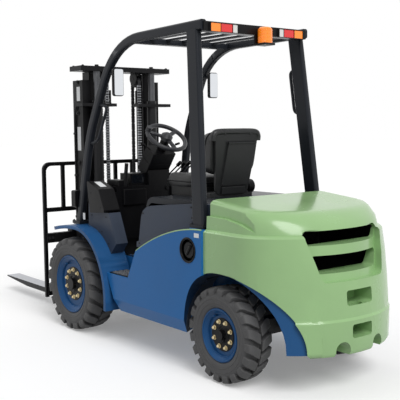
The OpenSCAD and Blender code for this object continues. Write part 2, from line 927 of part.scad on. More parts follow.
module counterweight() {
    color("darkseagreen") place() difference() {
        cw_body();
        both_sides() side_slab(arch_cut(arch_rear_green + seat_gap, arch_band + seat_gap),
            [deck_half + seat_gap, frame_half + overrun]);
        block([rear_axle_x - deck_back - overrun, split_x + overrun],
            [-deck_half - running_gap, deck_half + running_gap], [0, deck_z]);
        both_sides() well();
        block([rear_axle_x - plenum_back, split_x + overrun], [-plenum_half, plenum_half],
            [plenum_low, plenum_high]);
        cw_recess();
        cw_slots();
        cw_pocket(pocket_upper, pocket_upper_half);
        cw_pocket(pocket_lower, pocket_lower_half);
        upright_pin(cw_rear + tow_pin_in, 0, [pocket_lower[0] + pocket_round, pocket_upper[0] + pocket_round],
            tow_pin_r);
        upright_pin(cw_rear + tow_pin_in, 0,
            [pocket_upper[0] - tow_dish_depth, pocket_upper[0] + pocket_round], tow_dish_r);
        for (y = [-notch_y, notch_y]) {
            block([cw_rear - overrun, cw_rear + notch_depth], [y - notch_half, y + notch_half],
                [cw_bottom - overrun, notch_top - notch_half]);
            translate([cw_rear - overrun, y, notch_top - notch_half]) rotate([0, 90, 0])
                cylinder(r = notch_half, h = notch_depth + overrun);
        }
        both_sides() side_slab(concat([[split_x + overrun, swoosh_z]],
            [for (s = swoosh_shares) [split_x - s[0] * swoosh_l, swoosh_z - s[1] * (swoosh_z - ridge_z)]],
            [[cw_rear - overrun, ridge_z], [cw_rear - overrun, counterweight_top + overrun],
                [split_x + overrun, counterweight_top + overrun]]), [swoosh_y, frame_half]);
    }
}

module radiator() {
    x = split_x - radiator_back;
    color("black") place()
        block([x - radiator_t, x], [-radiator_half, radiator_half], [plenum_low, plenum_high - running_gap]);
}

module power_unit() {
    color("black") place() block([-power_x[1], -power_x[0]], [-power_half, power_half],
        [frame_bottom + base_t, power_top]);
}

// Cab

module floor_plate() {
    color("black") place() {
        block([-hood_front, -bulkhead_x - bulkhead_t - overrun - running_gap],
            [-frame_inner + seat_gap, frame_inner - seat_gap], [step_height - floor_t, step_height]);
        block([-hood_front, -floor_front], [-floor_half, floor_half], [step_height - floor_t, step_height]);
        both_sides() block([-step_back, -step_front - fender_lip], [tread_in, frame_half - tread_t],
            [step_height, step_height + tread_t]);
    }
}

module side_covers() {
    edge = [for (i = [brow_steps:-1:0]) brow(seat_gap)[i]];
    nose = [for (p = cover_nose) [-p[0], p[1]]];
    facet = [for (p = cover_facet) [-p[0], p[1]]];
    outline = concat(edge, nose, [[-rear_post_foot - rear_post_l / 2, hood_top], [split_x, hood_top]]);
    color("dimgray") place() both_sides() {
        difference() {
            intersection() {
                side_slab(outline, [cover_in, cover_in + cover_t]);
                block([split_x + running_gap, 0], [0, frame_half], [0, hood_top]);
            }
            cross_pin(hinge_x, hinge_z, [0, cover_in + hinge_pin_l + running_gap], hinge_r + pin_gap);
        }
        intersection() {
            side_slab(concat(edge, [nose[0]], facet), [cover_in, cover_in + cover_t + cover_flare]);
            block([facet[2][0], 0], [0, frame_half], [0, hood_top]);
        }
        block([-cover_ledge_back - 2 * cover_t, -cover_ledge_back], [cover_in - ledge_w, cover_in],
            [hood_top - hood_t - ledge_t - seat_gap, hood_top - hood_t - seat_gap]);
    }
}

module cowl() {
    arc = fender_arc(seat_gap, fender_from, fender_to);
    pod = rounded([for (p = pod_points) [-p[0], p[1]]], pod_round);
    panel = concat([for (i = [cowl_samples[0]:-1:cowl_samples[1]]) arc[i]], [[-cowl_tip_back, cowl_tip_z]],
        [for (p = panel_points) [-p[0], p[1]]]);
    color("dimgray") place() {
        both_sides() {
            side_slab(pod, [cowl_in, cowl_out]);
            side_slab(panel, [cowl_in, cowl_out - cowl_panel_in]);
        }
        side_slab([[-cowl_dash_x[0], cowl_toe_z], [-cowl_dash_x[0], cowl_dash_top],
            [-cowl_dash_x[1], cowl_dash_top], [-cowl_dash_x[1], cowl_toe_z + cowl_toe_h],
            [-cowl_dash_x[0] - cowl_toe_l, cowl_toe_z]], [-cowl_low_half, cowl_low_half]);
        block([-cowl_dash_x[1], -cowl_dash_x[0]], [-fender_wall + seat_gap, fender_wall - seat_gap],
            [cowl_wide_z, cowl_dash_top]);
        block([-cowl_dash_x[1], -cowl_dash_x[0]], [-cowl_in - overrun, cowl_in + overrun],
            [fender_top + seat_gap, cowl_dash_top - display_t]);
    }
}

// Frame of the steering wheel, with its axis along Z
module at_wheel() {
    translate([-column_back, 0, column_z]) rotate([0, -column_tilt, 0]) children();
}

module steering_column() {
    color("black") place() {
        at_wheel() {
            translate([0, 0, -column_l]) cylinder(r = column_r, h = column_l - steering_hub_h / 2 - seat_gap);
            translate([-shroud_d / 2, -shroud_w / 2, -column_l]) cube([shroud_d, shroud_w, shroud_l]);
        }
        block([-cowl_dash_x[1] + display_t, -cowl_dash_x[0] - display_t / 2],
            [binnacle_half - display_t, binnacle_half + display_w],
            [cowl_dash_top + seat_gap, cowl_dash_top + display_h - display_t / 2]);
        side_slab([[-cowl_dash_x[1], cowl_dash_top], [-cowl_dash_x[0] - display_t, cowl_dash_top],
            [-cowl_dash_x[1] + display_t, cowl_dash_top + display_h],
            [-cowl_dash_x[1], cowl_dash_top + display_h]], [-binnacle_half, binnacle_half]);
    }
}

module steering_wheel() {
    r = steering_wheel_d / 2 - steering_rim_r;
    color("black") place() at_wheel() {
        rotate_extrude() translate([r, 0]) circle(r = steering_rim_r);
        translate([0, 0, -steering_hub_h / 2]) cylinder(r = steering_hub_r, h = steering_hub_h);
        translate([0, 0, steering_hub_h / 2])
            cylinder(r1 = steering_hub_r, r2 = steering_hub_r * steering_dome_share, h = steering_dome_h);
        for (k = [0:spokes - 1]) rotate([0, 0, 180 + 360 * k / spokes])
            translate([0, -spoke_w / 2, -spoke_t / 2]) cube([r, spoke_w, spoke_t]);
        rotate([0, 0, 60]) translate([r, 0, 0]) cylinder(r = knob_r, h = knob_h);
    }
}

// Round bar between two points
module bar(from, to, r) {
    d = to - from;
    translate(from) rotate([0, acos(d[2] / norm(d)), atan2(d[1], d[0])])
        cylinder(r = r, h = norm(d), $fn = 24);
}

module controls() {
    color("black") place() {
        for (k = [0:levers - 1]) {
            y = lever_y - (k - (levers - 1) / 2) * lever_pitch;
            bend = [-lever_back, y, cowl_dash_top + lever_rise / 2];
            tip = [-lever_back - lever_reach, y, cowl_dash_top + lever_rise];
            translate([-lever_back, y, cowl_dash_top])
                cylinder(r1 = boot_r, r2 = lever_knob_r, h = boot_h, $fn = 24);
            bar([-lever_back, y, cowl_dash_top], bend, lever_r);
            bar(bend, tip, lever_r - pin_gap);
            translate(bend) sphere(r = lever_r + 2 * pin_gap, $fn = 24);
            bar(tip, tip + lever_knob_l * unit(tip - bend), lever_knob_r);
        }
        for (y = pedal_ys) {
            translate([-pedal_back - pedal_h, y, step_height + pedal_h]) rotate([0, -pedal_tilt, 0])
                translate([-pedal_h / 2, -pedal_w / 2, -pedal_t]) cube([pedal_h, pedal_w, pedal_t]);
            upright_pin(-pedal_back - pedal_h, y, [step_height, step_height + pedal_h - pedal_t / 2],
                pedal_stem_r);
        }
        bar([-cowl_dash_x[1] + lever_knob_r, brake_y, cowl_dash_top + lever_r / 2],
            [-cowl_dash_x[1] - lever_knob_r, brake_y, cowl_dash_top + brake_lever_l], lever_knob_r);
    }
}

hinge_x = split_x + hinge_back;
hinge_z = hood_top - hinge_drop;

// Foot of the hood's front at a distance behind the front axle, clear of the frame behind the step
function hood_foot(back) = step_height + (back - step_back) * rise_h / rise_l + 2 * running_gap;

module hood() {
    rear = split_x + hood_end_gap;
    skirt = hood_front + hood_skirt_t;
    pin_half = cover_in + hinge_pin_l;
    color("dimgray") place() {
        side_slab([[-hood_front, hood_foot(hood_front)], [-hood_front, hood_top - hood_round],
            [-hood_front - hood_round / 3, hood_top - hood_round / 3], [-hood_front - hood_round, hood_top],
            [rear, hood_top], [rear, hood_top - hood_t], [-hood_front - hood_round, hood_top - hood_t],
            [-skirt, hood_top - hood_round], [-skirt, hood_foot(skirt)]], [-hood_half, hood_half]);
        block([-skirt, -hood_front], [-skirt_half, skirt_half],
            [step_height + running_gap, hood_top - hood_round]);
        cross_pin(hinge_x, hinge_z, [-pin_half, pin_half], hinge_r);
    }
}

// Seat back drawn in the rear view, from a height and widened at its foot
function seat_back(low, wing) = let (top = seat_base_h + back_h)
    [[-back_low_half - wing, low], [back_low_half + wing, low], [back_top_half, top], [-back_top_half, top]];

module seat_frame() {
    low = hood_top;
    back_x = seat_front + cushion_l;
    color("black") place() {
        block([-back_x, -seat_front - seat_round], [-seat_half + seat_round, seat_half - seat_round],
            [low, low + seat_base_h]);
        translate([-back_x - back_t, 0, low]) rotate([0, -back_lean, 0])
            rear_slab(rounded(seat_back(seat_base_h / 4, 0), seat_round), [-back_shell_t, 0]);
        block([-back_x - back_t - back_shell_t, -back_x], [-seat_half + seat_round, seat_half - seat_round],
            [low, low + seat_base_h / 2]);
    }
}

module seat_cushions() {
    low = hood_top + seat_base_h + seat_gap;
    back_x = seat_front + cushion_l;
    color("black") place() {
        plan_slab(rounded([[-back_x, -seat_half], [-seat_front, -seat_half], [-seat_front, seat_half],
            [-back_x, seat_half]], seat_round), [low, low + cushion_h]);
        translate([-back_x - back_t, 0, hood_top]) rotate([0, -back_lean, 0])
            rear_slab(rounded(seat_back(seat_base_h + cushion_h, back_wing), seat_round), [seat_gap, back_t]);
    }
}

// Overhead guard

function guard_y(z) = guard_foot_w / 2
    + (guard_top_w - guard_foot_w) / 2 * min(1, (z - foot_z) / (brow_z - foot_z));

// Sideways place of a post's middle at a height
function front_at(x, z) = [x, guard_y(z), z];

// Middle of the left front post at a height
function post_at(z) = let (low = z < knee_z)
    let (knee = [-knee_back, knee_z])
    let (from = low ? [foot_front, post_z] : knee, to = low ? knee : [-brow_back, brow_z])
    front_at(from[0] + (to[0] - from[0]) * (z - from[1]) / (to[1] - from[1]), z);

// Point ahead of the right rear post at a height
function grip_at(ahead, z) = let (s = (z - post_pad_z) / (rail_z - post_pad_z))
    [-rear_post_foot + s * (rear_post_foot - rear_post_top) + ahead,
        -rear_foot_w / 2 + s * (rear_foot_w - guard_top_w) / 2, z];

module guard_side() {
    front = eased([front_at(foot_front, post_z), front_at(-knee_back, knee_z),
        front_at(-brow_back, brow_z), front_at(-roof_front, rail_z - roof_drop),
        front_at(-guard_end, rail_z)], guard_bend);
    sweep(front, rounded(rectangle(guard_rail_h, guard_rail_w), section_round), [0, 1, 0]);
    sweep([[-rear_post_foot, rear_foot_w / 2, post_pad_z + foot_plate_t],
        [-rear_post_top, guard_top_w / 2, rail_z]],
        rounded(rectangle(rear_post_l, rear_post_w), section_round), [0, 1, 0]);
    block([foot_front - foot_plate_l / 2, foot_front + foot_plate_l / 2],
        [guard_foot_w / 2 - foot_plate_w / 2, guard_foot_w / 2 + foot_plate_w / 2],
        [foot_z, foot_z + 2 * foot_plate_t]);
    block([-rear_post_foot - post_pad_l / 2, -rear_post_foot + post_pad_l / 2],
        [rear_foot_w / 2 - post_pad_w / 2, rear_foot_w / 2 + post_pad_w / 2],
        [post_pad_z + seat_gap, post_pad_z + 2 * foot_plate_t]);
}

module overhead_guard() {
    inner = guard_top_w / 2;
    span = guard_top_w - guard_rail_w;
    color("dimgray") place() {
        both_sides() guard_side();
        block([-roof_front - header_l, -roof_front], [-inner, inner], [rail_z - header_t, rail_z]);
        block([-guard_end, -guard_end + header_l], [-inner, inner], [rail_z - header_t, rail_z]);
        for (k = [1:roof_bars])
            let (y = -span / 2 + span * k / (roof_bars + 1))
            block([-guard_end, -roof_front - header_l / 2], [y - roof_bar_w / 2, y + roof_bar_w / 2],
                [rail_z - roof_bar_t, rail_z]);
        both_sides() rod([front_at(-brow_back, brow_z - guard_rail_h),
            [-mirror_back + mirror_t + mirror_arm_off, mirror_in + mirror_w / 2,
                mirror_z + mirror_arm_share * mirror_h]], mirror_arm_r, [0, 1, 0]);
        rod(eased([post_at(loop_low), post_at(loop_low) + [-loop_reach, 0, loop_slant],
            post_at(loop_high) + [-loop_reach, 0, -loop_slant], post_at(loop_high)], loop_bend), loop_r,
            [0, 1, 0]);
        rod(eased([grip_at(0, grip_high), grip_at(grip_reach, grip_high), grip_at(grip_reach, grip_low),
            grip_at(0, grip_low)], loop_bend), loop_r, [0, 1, 0]);
    }
}

// Lamps and mirrors

lamp_x = -guard_end - lamp_bar_t - 2 * seat_gap;
lamp_low = rail_z - header_t;
beacon_z = guard_height - beacon_drop;

module lamp_bar() {
    color("black") place() {
        block([lamp_x, lamp_x + lamp_bar_t], [-guard_top_w / 2, guard_top_w / 2],
            [lamp_low, lamp_low + lamp_bar_h]);
        block([lamp_x - 2 * beacon_r, lamp_x], [beacon_y - beacon_r, beacon_y + beacon_r],
            [beacon_z - beacon_base, beacon_z]);
        block([lamp_x, lamp_x + lamp_bar_t], [beacon_y - beacon_r, beacon_y + beacon_r],
            [beacon_z - beacon_base, lamp_low + beacon_base]);
    }
}

// Part of the rear lamp between two shares of its length, on both sides
module lens(from, to) {
    l = lamp_in - lamp_out;
    both_sides() block([lamp_x - lamp_depth, lamp_x],
        [lamp_out + to * l + lamp_gap, lamp_out + from * l - lamp_gap],
        [lamp_low + lamp_gap, lamp_low + lamp_gap + lamp_h]);
}

module lamps_amber() {
    color("orange") place() {
        lens(lamp_shares[0], lamp_shares[1]);
        upright_pin(lamp_x - beacon_r - pin_gap, beacon_y, [beacon_z, beacon_z + beacon_h], beacon_r);
    }
}

module lamps_red() {
    color("red") place() lens(lamp_shares[1], lamp_shares[2]);
}

module lamps_white() {
    headlamp_face = headlamp_x + headlamp_d;
    color("white") place() {
        lens(lamp_shares[2], lamp_shares[3]);
        both_sides() translate([headlamp_face, guard_y(headlamp_z), headlamp_z]) rotate([0, 90, 0])
            cylinder(r = headlamp_lens_r, h = headlamp_lens_t);
    }
}

module headlamps() {
    back = headlamp_x;
    y = guard_y(headlamp_z);
    color("black") place() both_sides()
        rear_slab(rounded([for (p = rectangle(headlamp_w, headlamp_h)) [y, headlamp_z] + p], section_round),
            [back, back + headlamp_d]);
}

function mirror_outline(edge) = rounded([[mirror_in + edge, mirror_z + edge],
    [mirror_in + mirror_w - edge, mirror_z + edge], [mirror_in + mirror_w - edge, mirror_z + mirror_h - edge],
    [mirror_in + edge, mirror_z + mirror_h - edge]], mirror_round - edge);

module mirror_frames() {
    color("black") place() both_sides()
        rear_slab(mirror_outline(0), [-mirror_back, -mirror_back + mirror_t]);
}

module mirror_glass() {
    color("silver") place() both_sides()
        rear_slab(mirror_outline(mirror_edge), [-mirror_back - mirror_edge, -mirror_back]);
}

module filler_cap() {
    foot = frame_half - filler_depth;
    color("black") place() {
        cross_pin(-filler_back, filler_z, [foot, foot + filler_ring_t], filler_r - running_gap);
        cross_pin(-filler_back, filler_z, [foot, frame_half - filler_in], filler_cap_r);
    }
}

// Mast

// Channel of an upright that opens inwards, from its outer face
function channel(outer, w, x, flange, web) = [[x[0], outer - w], [x[0] + flange, outer - w],
    [x[0] + flange, outer - web], [x[1] - flange, outer - web], [x[1] - flange, outer - w], [x[1], outer - w],
    [x[1], outer], [x[0], outer]];

module mast_outer() {
    color("black") place() {
        both_sides() {
            plan_slab(channel(mast_half, upright_w, [mast_back_x, mast_front_x], flange_t, web_t),
                [mast_foot_z, outer_top]);
            difference() {
                union() {
                    cross_pin(0, front_r, [mast_half - upright_w, mast_half], axle_tube_r + ring_t);
                    block([0, mast_back_x], [mast_half - upright_w, mast_half],
                        [ring_low, front_r + axle_tube_r / 2]);
                }
                cross_pin(0, front_r, [0, mast_half + overrun], axle_tube_r + pin_gap);
                upright_pin(barrel_x, barrel_y, [0, mast_top], barrel_r + seat_gap);
            }
            block([barrel_x - barrel_r, mast_back_x + flange_t], [barrel_y - barrel_r, mast_half],
                [barrel_foot - barrel_foot_t, barrel_foot]);
            for (y = [tilt_y - tilt_eye_w / 2 - tilt_ear_t - seat_gap, tilt_y + tilt_eye_w / 2 + seat_gap])
                difference() {
                    block([tilt_eye_x - tilt_eye_r, mast_back_x], [y, y + tilt_ear_t],
                        [tilt_eye_z - tilt_eye_r, tilt_eye_z + tilt_eye_r]);
                    upright_pin(barrel_x, barrel_y, [0, mast_top], barrel_r + seat_gap);
                }
            cross_pin(tilt_eye_x, tilt_eye_z,
                [tilt_y - tilt_eye_w / 2 - tilt_ear_t / 2, tilt_y + tilt_eye_w / 2 + tilt_ear_t], tilt_pin_r);
            for (y = [sheave_y - chain_w, sheave_y + chain_w])
                upright_pin(sheave_x - chain_out, y, [head_plate_z + head_plate_t, head_plate_z + anchor_h],
                    anchor_r);
        }
        for (z = outer_tie_zs)
            block([mast_back_x - tie_t / 2, mast_back_x + tie_t / 2], [-mast_half, mast_half],
                [z, z + tie_h]);
        difference() {
            both_sides() block(head_plate_x, [sheave_y - chain_w - 2 * anchor_r, crosshead_half],
                [head_plate_z, head_plate_z + head_plate_t]);
            both_sides() {
                upright_pin(barrel_x, barrel_y, [0, mast_top], barrel_r + seat_gap);
                block([sheave_x - chain_out - chain_t, mast_front_x],
                    [sheave_y - chain_w / 2 - anchor_r / 2, sheave_y + chain_w / 2 + anchor_r / 2],
                    [0, mast_top]);
            }
        }
        both_sides() block([head_plate_x[1], mast_back_x], [mast_half - upright_w, mast_half],
            [head_plate_z, head_plate_z + head_plate_t]);
    }
}

module lift_barrels() {
    color("dimgray") place() both_sides() difference() {
        upright_pin(barrel_x, barrel_y, [barrel_foot, head_plate_z + 2 * head_plate_t], barrel_r);
        upright_pin(barrel_x, barrel_y, [barrel_foot + rod_gap, mast_top], barrel_bore);
    }
}

module mast_inner() {
    x = [mast_mid_x - inner_depth / 2, mast_mid_x + inner_depth / 2];
    inner_top = mast_top - crosshead_t;
    roller_r = mast_depth / 2 - flange_t - pin_gap;
    color("black") place() {
        both_sides() {
            plan_slab(channel(inner_half, inner_w, x, inner_flange, inner_flange), [inner_foot_z, inner_top]);
            cross_pin(mast_mid_x, inner_foot_z + roller_from_foot,
                [inner_half - inner_flange, inner_half + stage_gap + roller_w], roller_r);
            cross_pin(sheave_x, sheave_z, [sheave_y - sheave_w / 2, sheave_y + sheave_w / 2],
                sheave_r - pin_gap);
            for (y = [sheave_y - sheave_w / 2 - cheek_t, sheave_y + sheave_w / 2])
                block([sheave_x - sheave_r, sheave_x + sheave_r], [y, y + cheek_t],
                    [sheave_z - sheave_pin_r, inner_top]);
        }
        block(crosshead_x, [-crosshead_half, crosshead_half], [inner_top, mast_top]);
        block([x[0], x[0] + inner_flange], [-inner_half, inner_half], [inner_foot_z, inner_foot_z + tie_h]);
    }
}

module lift_rods() {
    color("silver") place() both_sides()
        upright_pin(barrel_x, barrel_y, [barrel_foot + 5 * rod_gap, mast_top - crosshead_t], lift_rod_r);
}

// Leaf chain drawn in the rear view, with a waist at every link
function chain_outline(y, z) =
    let (links = round((z[1] - z[0]) / chain_pitch), step = (z[1] - z[0]) / links)
    let (half = [for (i = [0:2 * links]) chain_w / 2 * (i % 2 == 0 ? chain_waist_share : 1)])
    concat([for (i = [0:2 * links]) [y + half[i], z[0] + step * i / 2]],
        [for (i = [2 * links:-1:0]) [y - half[i], z[0] + step * i / 2]]);

module lift_chains() {
    x = sheave_x + sheave_r;
    color("gray") place() both_sides()
        rear_slab(chain_outline(sheave_y, [lift_anchor_z, sheave_z - seat_gap]), [x, x + chain_t]);
}

module chain_tails() {
    x = sheave_x - sheave_r - chain_t;
    color("gray") place() both_sides() {
        rear_slab(chain_outline(sheave_y, [sheave_z - tail_l, sheave_z]), [x, x + chain_t]);
        translate([sheave_x, sheave_y + chain_w / 2, sheave_z]) rotate([90, 0, 0])
            rotate_extrude(angle = 180) translate([sheave_r, 0]) square([chain_t, chain_w]);
    }
}

// Carriage

// Fork bar in the side view, with a groove along its hooked edge
function bar_outline(z, hooked) =
    let (x0 = bar_back_x, x1 = bar_back_x + bar_t, g = x0 + (bar_t - bar_groove) / 2)
    hooked ? [[x0, z[0]], [x1, z[0]], [x1, z[1]], [g + bar_groove, z[1]],
        [g + bar_groove, z[1] - bar_groove_d], [g, z[1] - bar_groove_d], [g, z[1]], [x0, z[1]]]
    : [[x0, z[0]], [x1, z[0]], [x1, z[1]], [x0, z[1]]];

module carriage() {
    roller_r = inner_depth / 2 - inner_flange - pin_gap;
    x = sheave_x + sheave_r;
    color("black") place() {
        side_slab(bar_outline(bar_upper, true), [-bar_half, bar_half]);
        side_slab(bar_outline(bar_lower, false), [-bar_half, bar_half]);
        both_sides() {
            block([plate_x, bar_back_x], [plate_out - plate_t, plate_out], [plate_low, plate_high]);
            block([plate_front_x, bar_back_x], [plate_out - plate_t, plate_out], [plate_low, bar_upper[1]]);
            for (z = carriage_roller_zs)
                cross_pin(mast_mid_x, z, [plate_out - plate_t, plate_out + stage_gap + roller_w], roller_r);
        }
        block([x + chain_t + seat_gap, bar_back_x], [-plate_out, plate_out],
            [lift_anchor_z - chain_lug, lift_anchor_z]);
        both_sides() block([x - chain_t, x + 2 * chain_t], [sheave_y - chain_w, sheave_y + chain_w],
            [lift_anchor_z - chain_lug, lift_anchor_z]);
    }
}

module load_backrest() {
    half = backrest_w / 2;
    low = [backrest_foot_z, backrest_top];
    x = [bar_back_x + bar_t - backrest_t, bar_back_x + bar_t];
    inside = half - backrest_bar_w;
    pitch = (backrest_w - backrest_bar_w) / (backrest_bars - 1);
    color("black") place() {
        rear_slab(concat(corner([half, low[0]], [half, low[1]], [-half, low[1]], backrest_round),
            corner([half, low[1]], [-half, low[1]], [-half, low[0]], backrest_round),
            [[-half, low[0]], [-inside, low[0]]],
            corner([-inside, low[0]], [-inside, low[1] - backrest_bar_w], [inside, low[1] - backrest_bar_w],
                backrest_round - backrest_bar_w / 2),
            corner([-inside, low[1] - backrest_bar_w], [inside, low[1] - backrest_bar_w], [inside, low[0]],
                backrest_round - backrest_bar_w / 2),
            [[inside, low[0]], [half, low[0]]]), x);
        block(x, [-inside, inside], [backrest_rail_z, backrest_rail_z + backrest_rail_h]);
        for (k = [1:backrest_bars - 2])
            let (y = -half + backrest_bar_w / 2 + k * pitch)
            block(x, [y - backrest_bar_w / 2, y + backrest_bar_w / 2],
                [backrest_rail_z, backrest_top - backrest_bar_w]);
        both_sides() block([bar_back_x, x[1]], [bar_half, inside + backrest_bar_w / 2],
            [bar_upper[0], bar_upper[1]]);
        both_sides() block([bar_back_x, x[1]], [bar_half, inside + backrest_bar_w / 2],
            [bar_lower[0], bar_lower[1]]);
    }
}

module fork() {
    x0 = fork_face_x - fork_t;
    hook_x = bar_back_x + bar_t / 2;
    rise = fork_t - fork_tip_t;
    side_slab(concat([[x0, fork_lift + fork_heel_round], [x0 + fork_heel_round, fork_lift],
        [fork_tip_x - fork_taper, fork_lift], [fork_tip_x, fork_lift + rise], [fork_tip_x, fork_top_z]],
        corner([fork_tip_x, fork_top_z], [fork_face_x, fork_top_z], [fork_face_x, shank_top],
            fork_heel_round / 2),
        [[fork_face_x, shank_top], [hook_x - bar_groove / 2 + pin_gap, shank_top],
            [hook_x - bar_groove / 2 + pin_gap, bar_upper[1] - bar_groove_d / 2],
            [hook_x + bar_groove / 2 - pin_gap, bar_upper[1] - bar_groove_d / 2],
            [hook_x + bar_groove / 2 - pin_gap, bar_upper[1] + seat_gap], [x0, bar_upper[1] + seat_gap],
            [x0, bar_lower[0] - seat_gap], [x0 - hook_l, bar_lower[0] - seat_gap],
            [x0 - hook_l, bar_lower[0] - hook_t], [x0, bar_lower[0] - hook_t]]),
        [-fork_w / 2, fork_w / 2]);
}

module fork_left() {
    color("black") place() translate([0, fork_spacing / 2, 0]) fork();
}

module fork_right() {
    color("black") place() translate([0, -fork_spacing / 2, 0]) fork();
}

// Tilt cylinders, drawn along X from the pivot
module at_tilt() {
    both_sides() translate([-tilt_pivot_back, tilt_y, tilt_pivot_z]) rotate([0, -tilt_angle, 0]) children();
}

module eye(r, hole, w) {
    difference() {
        union() {
            cross_pin(0, 0, [-w / 2, w / 2], r);
            children();
        }
        cross_pin(0, 0, [-w, w], hole);
    }
}

module tilt_barrels() {
    color("black") place() at_tilt() eye(tilt_eye_r, tilt_pin_r + pin_gap, tilt_eye_w) difference() {
        union() {
            translate([tilt_neck, 0, 0]) rotate([0, 90, 0])
                cylinder(r = tilt_barrel_r, h = tilt_barrel_l - tilt_neck);
            block([0, tilt_neck], [-tilt_eye_w / 2, tilt_eye_w / 2], [-tilt_bore, tilt_bore]);
        }
        translate([2 * tilt_neck, 0, 0]) rotate([0, 90, 0]) cylinder(r = tilt_bore, h = tilt_barrel_l);
    }
}

module tilt_rods() {
    color("silver") place() at_tilt() translate([tilt_l, 0, 0])
        eye(tilt_eye_r, tilt_pin_r + tilt_eye_gap, tilt_eye_w)
            rotate([0, -90, 0]) cylinder(r = tilt_rod_r, h = tilt_l - 5 * tilt_eye_r);
}

main_frame();
front_fenders();
counterweight();
radiator();
power_unit();
floor_plate();
side_covers();
cowl();
steering_column();
controls();
overhead_guard();
lamp_bar();
lamps_amber();
lamps_red();
lamps_white();
headlamps();
mirror_frames();
mirror_glass();
filler_cap();
drive_axle();
steer_axle();
hood();
seat_frame();
seat_cushions();
steering_wheel();
front_tyre(1);  // front_tyre_left
front_tyre(-1);  // front_tyre_right
front_rim(1);  // front_rim_left
front_rim(-1);  // front_rim_right
rear_tyre(1);  // rear_tyre_left
rear_tyre(-1);  // rear_tyre_right
rear_rim(1);  // rear_rim_left
rear_rim(-1);  // rear_rim_right
knuckle(1);  // knuckle_left
knuckle(-1);  // knuckle_right
mast_outer();
lift_barrels();
mast_inner();
lift_rods();
lift_chains();
chain_tails();
carriage();
load_backrest();
fork_left();
fork_right();
tilt_barrels();
tilt_rods();
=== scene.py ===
"""Studio picture of a counterbalance forklift truck: finishes, lights and the small pieces on its solids.

Places are in mm where they go through at(), and every other length is in metres.
"""
import json
from math import asin, atan2, cos, exp, hypot, pi, radians, sin
from types import SimpleNamespace

import bmesh
import bpy
from mathutils import Matrix, Vector


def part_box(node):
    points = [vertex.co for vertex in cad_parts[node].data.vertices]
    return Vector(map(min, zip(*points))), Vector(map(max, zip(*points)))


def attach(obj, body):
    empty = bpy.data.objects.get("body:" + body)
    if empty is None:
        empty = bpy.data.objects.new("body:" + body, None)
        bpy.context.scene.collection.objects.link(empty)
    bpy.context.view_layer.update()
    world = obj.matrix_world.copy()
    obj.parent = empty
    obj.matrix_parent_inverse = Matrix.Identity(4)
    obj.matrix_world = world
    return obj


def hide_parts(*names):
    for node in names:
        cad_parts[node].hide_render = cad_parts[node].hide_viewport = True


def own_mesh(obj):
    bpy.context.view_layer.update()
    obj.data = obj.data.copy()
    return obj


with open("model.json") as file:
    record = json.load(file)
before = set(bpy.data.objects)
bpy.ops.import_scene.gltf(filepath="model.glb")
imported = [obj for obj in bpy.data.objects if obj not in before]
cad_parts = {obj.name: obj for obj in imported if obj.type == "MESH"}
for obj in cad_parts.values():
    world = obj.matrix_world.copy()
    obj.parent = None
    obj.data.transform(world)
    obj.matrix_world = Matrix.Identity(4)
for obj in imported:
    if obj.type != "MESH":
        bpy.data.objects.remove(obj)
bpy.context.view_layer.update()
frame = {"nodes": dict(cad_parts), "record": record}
NODES = frame["nodes"]
SIDES = {"left": 1, "right": -1}
SIGNS = tuple(SIDES.values())
TURN = 2 * pi
UP = Vector((0, 0, 1))
AHEAD = Vector((1, 0, 0))
BACK = Vector((-1, 0, 0))

# Main places of the truck
AXLE_X = 0.310
FRONT_AXLE_Z = 350
REAR_AXLE_X = -1700
REAR_AXLE_Z = 291
COUNTERWEIGHT_X = -1850
FORK_Y = 290


def at(x, y, z):
    """Row frame point from mm ahead of the front axle, left of the centre plane and above the floor."""
    return Vector((AXLE_X + x / 1000, y / 1000, z / 1000))


def outward(sign):
    """Direction away from the centre plane."""
    return Vector((0, sign, 0))


# Shader nodes

def set_inputs(node, **values):
    """Puts constants on a node's own sockets; _ stands for a space in a socket's name."""
    for key, value in values.items():
        node.inputs[key.replace("_", " ")].default_value = value
    return node


def add_node(tree, kind, **values):
    return set_inputs(tree.nodes.new("ShaderNode" + kind), **values)


def link(tree, source, out, target, into):
    tree.links.new(source.outputs[out], target.inputs[into])


def remap(tree, source, out, span, to):
    """Node that carries a source's values from one span to another."""
    made = add_node(tree, "MapRange", From_Min=span[0], From_Max=span[1],
                    To_Min=to[0], To_Max=to[1])
    link(tree, source, out, made, "Value")
    return made


# Materials

PATCH_SPAN = (0.3, 0.7)
PATCH_DETAIL = 5.0
EDGE_SPAN = (0.53, 0.60)
COAT_ROUGHNESS = 0.06
BUMP_STRENGTH = 0.7
RIB_SCALE = 60.0


def srgb(r, g, b):
    """Linear colour of an 8-bit screen colour."""
    def linear(v):
        v /= 255
        return v / 12.92 if v <= 0.04045 else ((v + 0.055) / 1.055) ** 2.4
    return (linear(r), linear(g), linear(b), 1)


